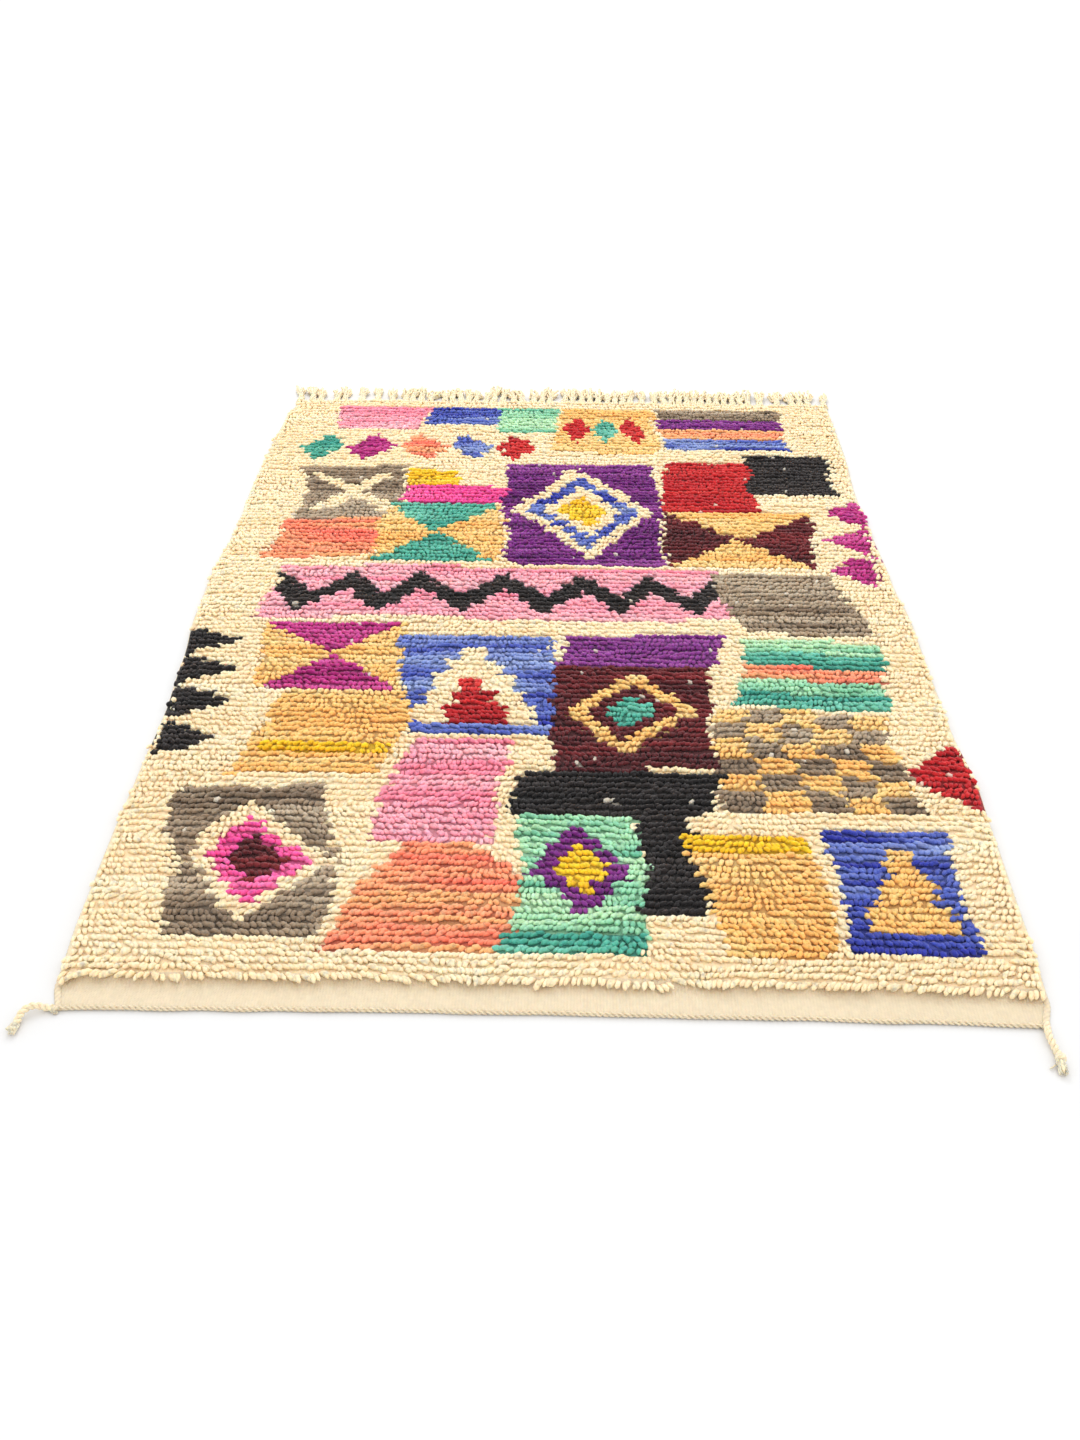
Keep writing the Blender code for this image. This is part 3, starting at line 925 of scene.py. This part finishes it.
def tuft_template():
    """The tuft's points, its faces as rows of point numbers, and the place of each face corner on it."""
    bm = start_mesh()
    rings = [Vector((0.0, 0.0, share)) for share in TUFT_RINGS]
    cap = draw_yarn(bm, rings, [1.0] * len(rings), sides=TUFT_SIDES)
    tip = bmesh.ops.poke(bm, faces=[cap])["verts"][0]
    tip.co = UP.copy()
    tip[bm.verts.layers.float["along"]] = 1.0
    close_yarns(bm)
    uv = bm.loops.layers.uv["yarn"]
    for face in bm.faces:
        corners = [loop for loop in face.loops if loop.vert is not tip]
        for loop in face.loops:
            if loop.vert is tip:
                loop[uv].uv.x = sum(corner[uv].uv.x for corner in corners) / len(corners)
    bm.verts.index_update()
    points = np.array([vert.co for vert in bm.verts])
    faces = [[loop.vert.index for loop in face.loops] for face in bm.faces]
    places = np.array([loop[uv].uv for face in bm.faces for loop in face.loops])
    bm.free()
    return points, faces, places


tuft_points, tuft_faces, tuft_places = tuft_template()
print("tuft:", len(tuft_points), "points,", sum(len(face) - 2 for face in tuft_faces), "triangles")

# %% [markdown]
# ## How the tufts lie
#
# Pile doesn't stand straight. Knots are pulled down towards the weaver, so every tuft leans to the near end
# and hides the foot of the row before it, and what light can't reach becomes a thin dark line under a row.
# Feet and use comb it sideways too, a whole handful at a time, and then the strands of a row lie over each
# other like those of a rope. So every tuft has the same reach, and only its angle to straight ahead changes:
# a smooth noise turns it, and a steep curve (tanh) pushes most tufts to one side or the other. The tufts at
# the sides lie straight along the selvedge, and the first row hangs a little over the bare band. Below the
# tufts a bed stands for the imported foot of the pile, so that no gap shows the floor.

# %% The lie of each tuft
KNOT_PLACE = 0.95
BED_TOP = 0.0112
BED_RIM = 0.0050
RIM_WIDTH = 0.014
TUFT_SUNK = 0.0034
TUFT_HEIGHT = 0.0074
TUFT_RADIUS = 0.0050
TUFT_REACH = 0.0190
SWEEP_ANGLE = math.radians(52.0)
STRAY_ANGLE = math.radians(12.0)
EDGE_INSET = 0.0060
EDGE_TUFTS = 4
ROW_WAVE = 0.0034
COMB_STEEPNESS = 3.8
GROUND_TOP = 0.0034


def bed_height(x, y):
    """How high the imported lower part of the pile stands: less at the sides and where the pile begins."""
    from_side = np.minimum(x - side_x(y, "left"), side_x(y, "right") - x)
    full = BED_RIM + (BED_TOP - BED_RIM) * ease(from_side / RIM_WIDTH)
    begun = np.clip((y - near_bow(x, y) - PILE_START) / ROW_PITCH, 0.0, 1.0)
    return GROUND_TOP + (full - GROUND_TOP) * begun


knot_y = PILE_START + (row_numbers + KNOT_PLACE) * ROW_PITCH
left_side = side_x(knot_y, "left") + EDGE_INSET
right_side = side_x(knot_y, "right") - EDGE_INSET
knot_x = left_side + (column_numbers + 0.5) / KNOT_COLUMNS * (right_side - left_side)
knot_y = knot_y + near_bow(knot_x, knot_y) + 0.0015 * soft_noise(knot_x, knot_y, (0.10, 0.04), 51)
knot_y = knot_y + ROW_WAVE * soft_noise(knot_x, knot_y, (0.036, 0.013), 57)
knot_x = knot_x + rng.normal(0.0, 0.0011, chart.shape)
knot_y = knot_y + rng.normal(0.0, 0.0012, chart.shape)

from_side = np.minimum(column_numbers, KNOT_COLUMNS - 1 - column_numbers)
edge = np.clip(1.0 - from_side / EDGE_TUFTS, 0.0, 1.0)
combed = soft_noise(knot_x, knot_y, (0.24, 0.10), 52) + 0.45 * soft_noise(knot_x, knot_y, (0.07, 0.017), 53)
angle = SWEEP_ANGLE * np.tanh(COMB_STEEPNESS * combed) * (1.0 - 0.8 * edge)
angle = angle + rng.normal(0.0, STRAY_ANGLE, chart.shape)
reach = TUFT_REACH * (1.0 + rng.normal(0.0, 0.07, chart.shape))
height = TUFT_HEIGHT + 0.0008 * soft_noise(knot_x, knot_y, (0.16, 0.07), 55)
height = height + 0.0014 * soft_noise(knot_x, knot_y, (0.03, 0.02), 58)
height = height + rng.normal(0.0, 0.0006, chart.shape)
foot = bed_height(knot_x, knot_y) - TUFT_SUNK
girth = TUFT_RADIUS * (1.0 + np.clip(rng.normal(0.0, 0.12, chart.shape), -0.25, 0.25))

first_row = row_numbers == 0
overhang = 0.0066 + 0.0052 * soft_noise(knot_x, knot_y, (0.13, 0.02), 56)
overhang = overhang + 0.0022 * soft_noise(knot_x, knot_y, (0.03, 0.02), 59)
lean_x = reach * np.sin(angle)
lean_y = -reach * np.cos(angle) - np.where(first_row, overhang, 0.0)
print("sideways lean, mm:", round(1000 * float(lean_x.min()), 1), "to", round(1000 * float(lean_x.max()), 1))

# %% [markdown]
# ## The pile
#
# Placing 27,000 tufts one at a time would take minutes, so numpy places them together. Every template point
# has a share of the tuft's height. The share gives a point on the tuft's bent centre line and the two
# directions square to it, and the template's X and Y are laid along those. Geometry Nodes could scatter
# instances too, but arrays keep full control of each knot's place, lean and colour. The pile is cut into six
# pieces, so that none is too heavy.

# %% Bend the template along each tuft's centre line
PILE_ARCH = 2.15
PILE_SWEEP = 1.15
# Painted shade: a tuft's colour darkens towards its knot, more for dyed wool than for cream.
DYED_ROOT_SHADE = np.array((0.90, 0.83, 0.76))
CREAM_ROOT_SHADE = np.array((0.99, 0.95, 0.88))
ROOT_SHADE_SHARE = 0.6
GIRTH_ALONG = ((0.0, 0.80), (0.44, 1.0), (0.80, 0.84), (1.0, 0.0))


def tuft_geometry(rows, columns):
    """The points of the tufts in these rows and columns, and their colour, with painted shade near the knot.
    """
    picked = (slice(*rows), slice(*columns))

    def each(values):
        """The values of the picked tufts, one to a row."""
        return values[picked].reshape(-1, 1)

    share = tuft_points[:, 2][None, :]
    far = np.hypot(each(lean_x), each(lean_y))
    way_x = each(lean_x) / far
    way_y = each(lean_y) / far
    tall = each(height)
    out = far * share**PILE_SWEEP
    up = tall * np.sin(PILE_ARCH * share)
    slope_out = far * PILE_SWEEP * share ** (PILE_SWEEP - 1.0)
    slope_up = tall * PILE_ARCH * np.cos(PILE_ARCH * share)
    steep = np.hypot(slope_out, slope_up)
    swell = np.interp(tuft_points[:, 2], *zip(*GIRTH_ALONG))[None, :]
    radius = each(girth) * swell
    spin = rng.uniform(0.0, math.tau, radius.shape[0])[:, None]
    template_x = tuft_points[:, 0] * np.cos(spin) - tuft_points[:, 1] * np.sin(spin)
    template_y = tuft_points[:, 0] * np.sin(spin) + tuft_points[:, 1] * np.cos(spin)
    sideways = radius * template_x
    forwards = radius * template_y * slope_up / steep
    downwards = radius * template_y * slope_out / steep
    x = each(knot_x) + way_x * (out + forwards) + way_y * sideways
    y = each(knot_y) + way_y * (out + forwards) - way_x * sideways
    z = each(foot) + up - downwards
    # Painted shade: the colour darkens towards the knot over the lower part of the tuft.
    root = np.where(each(is_cream)[..., None], CREAM_ROOT_SHADE, DYED_ROOT_SHADE)
    painted_root_shade = root + (1.0 - root) * np.clip(tuft_points[:, 2] / ROOT_SHADE_SHARE, 0.0, 1.0)[None, :, None]
    shaded = colours[picked].reshape(-1, 1, 3) * painted_root_shade
    return np.stack([x, y, z], axis=-1), shaded


# %% Write many tufts into one mesh
BAKE_MARGIN = 0.06
BAKE_FOOT = 0.20


def paint(mesh, domain, shades):
    """Stores a colour for each point or face corner where the wool looks for it."""
    opaque = np.concatenate([shades, np.ones((*shades.shape[:-1], 1))], axis=-1)
    attribute = mesh.attributes.new("yarn_colour_with_painted_shade", "FLOAT_COLOR", domain)
    attribute.data.foreach_set("color", opaque.astype(np.float32).ravel())


def add_map(mesh, name, places):
    mesh.uv_layers.new(name=name).data.foreach_set("uv", places.astype(np.float32).ravel())


def tufts_mesh(name, rows, columns):
    """One mesh of tufts, with its colours and its two UV maps."""
    points, shaded = tuft_geometry(rows, columns)
    tufts, count = points.shape[:2]
    corners = np.concatenate([np.array(face) for face in tuft_faces])
    sizes = np.array([len(face) for face in tuft_faces])
    mesh = bpy.data.meshes.new(name)
    mesh.vertices.add(tufts * count)
    mesh.vertices.foreach_set("co", points.astype(np.float32).ravel())
    mesh.loops.add(tufts * len(corners))
    corner_points = np.arange(tufts)[:, None] * count + corners
    mesh.loops.foreach_set("vertex_index", corner_points.astype(np.int32).ravel())
    mesh.polygons.add(tufts * len(sizes))
    starts = np.concatenate([[0], np.cumsum(sizes)[:-1]])
    face_starts = np.arange(tufts)[:, None] * len(corners) + starts
    mesh.polygons.foreach_set("loop_start", face_starts.astype(np.int32).ravel())
    mesh.update(calc_edges=True)
    paint(mesh, "POINT", shaded)

    yarn_places = np.stack([tuft_places[:, 0], tuft_places[:, 1] * TUFT_REACH], axis=-1)
    add_map(mesh, "yarn", np.tile(yarn_places, (tufts, 1)))

    across_cells = columns[1] - columns[0]
    along_cells = rows[1] - rows[0]
    cell_x = np.tile(np.arange(across_cells), along_cells)[:, None]
    cell_y = np.repeat(np.arange(along_cells), across_cells)[:, None]
    u = (cell_x + BAKE_MARGIN + (1.0 - 2.0 * BAKE_MARGIN) * bake_places[:, 0]) / across_cells
    v = (cell_y + BAKE_MARGIN + (1.0 - 2.0 * BAKE_MARGIN) * bake_places[:, 1]) / along_cells
    add_map(mesh, "OFBake", np.stack([u, v], axis=-1))
    return mesh


def places_in_a_cell():
    """Where each face corner of the tuft lies in its cell of the bake map: foot below, sides above."""
    turns = 1.0 + 1.0 / TUFT_SIDES
    sides = np.stack([tuft_places[:, 0] / turns, BAKE_FOOT + (1.0 - BAKE_FOOT) * tuft_places[:, 1]], axis=-1)
    start = 0
    for face in tuft_faces:
        corners = slice(start, start + len(face))
        start += len(face)
        if np.all(tuft_places[corners, 1] == 0.0):
            disc = tuft_points[face][:, :2]
            sides[corners, 0] = 0.5 + 0.4 * disc[:, 0]
            sides[corners, 1] = 0.45 * BAKE_FOOT * (1.0 + 0.8 * disc[:, 1])
    return sides


bake_places = places_in_a_cell()

# %% Make the six pieces of pile
ROW_CUTS = (("near", 0, 47), ("middle", 47, 94), ("far", 94, KNOT_ROWS))
COLUMN_CUTS = (("left", 0, KNOT_COLUMNS // 2), ("right", KNOT_COLUMNS // 2, KNOT_COLUMNS))
for end_name, first_row_number, last_row_number in ROW_CUTS:
    for side_name, first_column, last_column in COLUMN_CUTS:
        name = f"pile_{end_name}_{side_name}"
        mesh = tufts_mesh(name, (first_row_number, last_row_number), (first_column, last_column))
        add_piece(name, mesh, pile_wool)

# %% [markdown]
# ## The ground weave
#
# Under the pile and in the bare band is the ground weave, one thin sheet. A grid gets the rug's outline, is
# extruded down to the floor and so becomes a closed cloth. Its underside shows the backs of the knots, so
# each face takes the colour of the knot above it. On its top, between the tufts, that colour is darkened as
# painted shade, much more under dyed wool than under cream. The band keeps the undyed yarn.

# %% Make the ground weave
GROUND_COLUMNS = 90
GROUND_BAND_ROWS = 8
GROUND_RIPPLE = 0.0007
GROUND_INSET = 0.002
# The bed values are painted shade on the ground's top between the tufts: strong under dyed wool, faint under
# cream.
DYED_BED_SHADE = 0.58
CREAM_BED_SHADE = 0.95
BACK_SHARE = 0.8
CLOTH_START = NEAR + TWINING_DEPTH * 0.7
UNDERCUT = 0.009


def make_ground():
    """The ground weave as a closed sheet on the floor."""
    bm = bmesh.new()
    lines = GROUND_BAND_ROWS + KNOT_ROWS
    bmesh.ops.create_grid(bm, x_segments=GROUND_COLUMNS, y_segments=lines, size=0.5)
    flat = np.array([vert.co for vert in bm.verts]) + 0.5
    line = np.round(flat[:, 1] * lines)
    in_band = CLOTH_START + (PILE_START - CLOTH_START) * line / GROUND_BAND_ROWS
    in_pile = PILE_START + (line - GROUND_BAND_ROWS) * ROW_PITCH
    y = np.where(line < GROUND_BAND_ROWS, in_band, in_pile)
    left = side_x(y, "left") + GROUND_INSET
    right = side_x(y, "right") - GROUND_INSET
    x = left + flat[:, 0] * (right - left)
    y = y + near_bow(x, y) + near_wave(x) * np.clip(1.0 - line / GROUND_BAND_ROWS, 0.0, 1.0)
    z = bed_height(x, y) + GROUND_RIPPLE * soft_noise(x, y, (0.06, 0.03), 61)
    for vert, place in zip(bm.verts, np.stack([x, y, z], axis=-1)):
        vert.co = place
    below = bmesh.ops.extrude_face_region(bm, geom=bm.faces[:])["geom"]
    for vert in (part for part in below if isinstance(part, bmesh.types.BMVert)):
        vert.co.z = 0.0
        vert.co.y += UNDERCUT * (vert.co.y - near_bow(vert.co.x, vert.co.y) < CLOTH_START + UNDERCUT)
    bmesh.ops.recalc_face_normals(bm, faces=bm.faces[:])
    print("open edges in the ground:", sum(edge.is_boundary for edge in bm.edges))
    return mesh_of("ground_weave", bm)


def colour_ground(mesh):
    """Gives each face the colour of the knot above it, darkened on top by painted shade, or undyed yarn in
    the band.
    """
    centres = np.zeros(len(mesh.polygons) * 3)
    mesh.polygons.foreach_get("center", centres)
    x, y, z = centres.reshape(-1, 3).T
    straight = y - near_bow(x, y)
    row = np.clip(((straight - PILE_START) / ROW_PITCH).astype(int), 0, KNOT_ROWS - 1)
    left = side_x(y, "left")
    right = side_x(y, "right")
    column = np.clip(((x - left) / (right - left) * KNOT_COLUMNS).astype(int), 0, KNOT_COLUMNS - 1)
    shown = BACK_SHARE * colours[row, column] + (1.0 - BACK_SHARE) * np.array(UNDYED)
    on_top = z > GROUND_TOP / 2.0
    # On top, between the tufts, the knot's colour is darkened: painted shade.
    tone = np.where(is_cream, CREAM_BED_SHADE, DYED_BED_SHADE)[row, column]
    shown[on_top] = (tone[:, None] * colours[row, column])[on_top]
    shown[straight < PILE_START + ROW_PITCH] = UNDYED
    paint(mesh, "CORNER", np.repeat(shown, 4, axis=0))


ground_mesh = make_ground()
colour_ground(ground_mesh)
ground = add_piece("ground_weave", ground_mesh, ground_wool)
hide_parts("rug")

# %% [markdown]
# ## The edges
#
# The near edge is twined: two yarns twist around each other and lock the first weft, so the edge shows a row
# of small slanting lobes. The long sides are selvedges, flat cords of warps bound by the wefts that turn at
# them. The binding shows as ridges across the cord, so the yarn's width swells and shrinks as it is drawn.

# %% Twine the near edge
TWINING_STRAND = 0.0022
TWINING_OFFSET = 0.0021
TWINING_LAY = 0.020
TWINING_STEPS = 12
TWINING_LIFT = 0.0046
SELVEDGE_WIDTH = 0.0115


def edge_route(y, left, right, lift, wave=None):
    """A route along a short edge, which bows with the near one and may stray as the wave says."""
    count = round((right - left) * TWINING_STEPS / TWINING_LAY)
    route = []
    for index in range(count + 1):
        x = left + (right - left) * index / count
        stray = wave(x) if wave else 0.0
        route.append(Vector((x, float(y + near_bow(x, y) + stray), lift)))
    return route


def draw_twining(bm, route):
    """Two yarns twisted together along an edge."""
    for ply in ply_routes(route, TWINING_OFFSET, TWINING_LAY):
        draw_yarn(bm, ply, [TWINING_STRAND] * len(ply), sides=6)


CORNER_THREADS = 5
CORNER_THREAD = 0.0017
near_route = edge_route(
    NEAR + TWINING_DEPTH / 2.0,
    float(side_x(NEAR, "left")),
    float(side_x(NEAR, "right")) - SELVEDGE_WIDTH,
    TWINING_LIFT,
    near_wave,
)
bm = start_mesh()
draw_twining(bm, near_route)
chance = random.Random(9)
under_tie = LEFT_CORNER + Vector((0.0040, -0.0042, 0.0060))
wound_knot(
    bm,
    under_tie,
    Vector((1.0, -0.5, 0.0)).normalized(),
    coil_radius=0.0038,
    yarn_radius=0.0026,
    turns=1.6,
    pitch=0.0034,
    squash=0.7,
)
for _ in range(CORNER_THREADS):
    sideways = chance.uniform(-0.004, 0.012)
    outwards = chance.uniform(-0.0090, -0.0050)
    tip = under_tie + Vector((sideways, outwards, chance.uniform(-0.005, 0.0)))
    loose_strand(bm, under_tie, tip, CORNER_THREAD, 0.0014, chance)
twined_edge = yarn_piece("twined_near_edge", bm, edge_wool)
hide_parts("near_twining")

# %% Bind the long sides
SELVEDGE_FLAT = 0.42
SELVEDGE_START = 0.001
WRAP_PITCH = 0.009
WRAP_STEPS = 3
WRAP_SWELL = 0.09


def make_selvedge(side):
    """A flat bound cord along one long side."""
    inwards = 1.0 if side == "left" else -1.0
    count = round((FAR - NEAR) / (WRAP_PITCH / WRAP_STEPS))
    route, radii = [], []
    for index in range(count + 1):
        y = NEAR + SELVEDGE_START + (FAR - NEAR - SELVEDGE_START) * index / count
        swell = 1.0 + WRAP_SWELL * math.cos(math.tau * index / WRAP_STEPS)
        radius = SELVEDGE_WIDTH / 2.0 * swell
        x = float(side_x(y, side)) + inwards * SELVEDGE_WIDTH / 2.0
        route.append(Vector((x, y, SELVEDGE_WIDTH / 2.0 * SELVEDGE_FLAT * (1.0 + WRAP_SWELL))))
        radii.append(radius)
    bm = start_mesh()
    draw_yarn(bm, route, radii, sides=8, flat=SELVEDGE_FLAT)
    return yarn_piece(f"selvedge_{side}", bm, edge_wool)


selvedges = [make_selvedge(side) for side in ("left", "right")]

# %% [markdown]
# ## The tassels
#
# At the far end the warps were cut from the loom and knotted in bunches. The yarns of a bunch come together
# at its knot, spread behind it and curl in again at their ends, each with its own crinkle from the weave. So
# a tassel is bushy and no two are alike. Some bend over to their neighbours, and a thin thread curls out
# here and there. The places of the roots come from the same seeded steps as in the frame, so every tassel
# lies on its own solid.

# %% The places of the tassels
TASSELS = 54
TASSEL_ROOT = 0.008
TASSEL_STEPS = (0.75, 0.8, 0.85, 1.0, 1.3, 1.7)
TASSEL_SHORTER = (0.62, 0.97)
TASSEL_SIZES = (0.85, 1.1)
TASSEL_LEAN = 0.010
TASSEL_BEND = 0.002
TASSEL_APART = 0.0035
TASSEL_WIDEST = 0.0165
FRAME_GAP = 0.0003
STRIP_WIDTH = 0.006
Tassel = namedtuple("Tassel", "root tip length size bend")


def tassel_places():
    """Where each tassel leaves the edge and where it ends, as in the frame."""
    spread = random.Random(5)
    left = float(side_x(FAR, "left")) + TASSEL_ROOT
    right = float(side_x(FAR, "right")) - TASSEL_ROOT
    steps = [spread.choice(TASSEL_STEPS) for _ in range(TASSELS - 1)]
    scale = (right - left) / sum(steps)
    roots = [left]
    for step in steps:
        roots.append(roots[-1] + step * scale)
    loose = random.Random(23)
    reach = FRINGE_LENGTH - FRAME_GAP - STRIP_WIDTH
    last_tip = -math.inf
    tassels = []
    for number, root in enumerate(roots):
        length = reach if number == TASSELS // 3 else reach * loose.uniform(*TASSEL_SHORTER)
        size = loose.uniform(*TASSEL_SIZES)
        bend = loose.uniform(-TASSEL_BEND, TASSEL_BEND)
        clear = last_tip + TASSEL_SIZES[1] * TASSEL_WIDEST + TASSEL_APART
        last_tip = max(root + loose.uniform(-TASSEL_LEAN, TASSEL_LEAN), clear)
        tassels.append(Tassel(root, last_tip, length, size, bend))
    return tassels


tassels = tassel_places()
print("tassels:", len(tassels), "from", round(min(t.length for t in tassels), 3), "m long")

# %% Draw one tassel
TASSEL_YARNS = 9
TASSEL_RINGS = 13
TASSEL_YARN = 0.0037
TASSEL_SPREAD = 0.0165
TASSEL_ROUND = 2.4
TASSEL_HOOK = 0.030
GATHERED = 0.0028
AT_ROOT = 0.0060
KNOT_COIL = 0.0052
KNOT_YARN = 0.0034
KNOT_SQUASH = 0.9
TASSEL_CURL = 0.0010
CURLS = 1
CRINKLE = 0.0024


def draw_tassel(bm, tassel, chance):
    """Crinkled yarns that run into a knot and spread behind it, and a few thin curls."""
    start = FAR + FRAME_GAP + STRIP_WIDTH * 0.5
    knot_share = chance.uniform(0.30, 0.55)
    bushy = tassel.size * chance.uniform(0.75, 1.25)
    hook = chance.uniform(-TASSEL_HOOK, TASSEL_HOOK)

    def middle(share, lift):
        x = tassel.root + (tassel.tip - tassel.root) * share + tassel.bend * math.sin(math.tau * share)
        x += hook * max(share - knot_share, 0.0) ** 1.5
        return Vector((x, start + (tassel.length + STRIP_WIDTH * 0.5) * share, lift))

    knot_lift = KNOT_COIL * KNOT_SQUASH + KNOT_YARN + 0.0002
    for number in range(TASSEL_YARNS):
        turn = math.tau * (number + chance.uniform(-0.3, 0.3)) / TASSEL_YARNS
        spread = TASSEL_SPREAD * bushy * chance.uniform(0.25, 1.0)
        length = chance.uniform(0.76, 0.98)
        route = []
        for index in range(TASSEL_RINGS):
            share = length * index / (TASSEL_RINGS - 1)
            gather = AT_ROOT * max(1.0 - share / knot_share, 0.0)
            opening = spread * math.sin(TASSEL_ROUND * max((share - knot_share) / (1.0 - knot_share), 0.0))
            reach = GATHERED + gather + opening
            lift = knot_lift * min(share / knot_share + 0.45, 1.0) + 0.75 * reach * math.sin(turn)
            stray = Vector([chance.uniform(-CRINKLE, CRINKLE) for _ in range(3)])
            point = middle(share, lift) + Vector((reach * math.cos(turn), 0.0, 0.0)) + stray
            point.z = max(point.z, TASSEL_YARN + 0.0004)
            route.append(point)
        radii = [TASSEL_YARN * chance.uniform(0.82, 1.1) for _ in route]
        draw_yarn(bm, route, radii, sides=5)
    way = (middle(1.0, 0.0) - middle(0.5, 0.0)).normalized()
    knot_start = chance.uniform(0.0, math.tau)
    root = middle(knot_share, knot_lift)
    wound_knot(
        bm,
        root,
        way,
        KNOT_COIL,
        KNOT_YARN,
        turns=1.9,
        pitch=0.0044,
        squash=KNOT_SQUASH,
        rings=TASSEL_RINGS,
        start=knot_start,
    )
    for _ in range(chance.randint(0, CURLS)):
        aside = chance.uniform(-1.0, 1.0) * TASSEL_SPREAD * bushy
        tip = middle(chance.uniform(0.95, 1.07), chance.uniform(0.006, 0.021)) + Vector((aside, 0.0, 0.0))
        loose_strand(bm, root, tip, TASSEL_CURL, 0.0045, chance, rings=10)


# %% Make the fringe and the twined far edge
bm = start_mesh()
chance = random.Random(77)
for tassel in tassels:
    draw_tassel(bm, tassel, chance)
fringe = yarn_piece("tassels", bm, tassel_wool)

bm = start_mesh()
far_y = FAR + FRAME_GAP + STRIP_WIDTH / 2.0
draw_twining(bm, edge_route(far_y, float(side_x(FAR, "left")), float(side_x(FAR, "right")), TWINING_LIFT))
far_edge = yarn_piece("twined_far_edge", bm, tassel_wool)
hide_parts("far_fringe")
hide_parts("far_fringe")
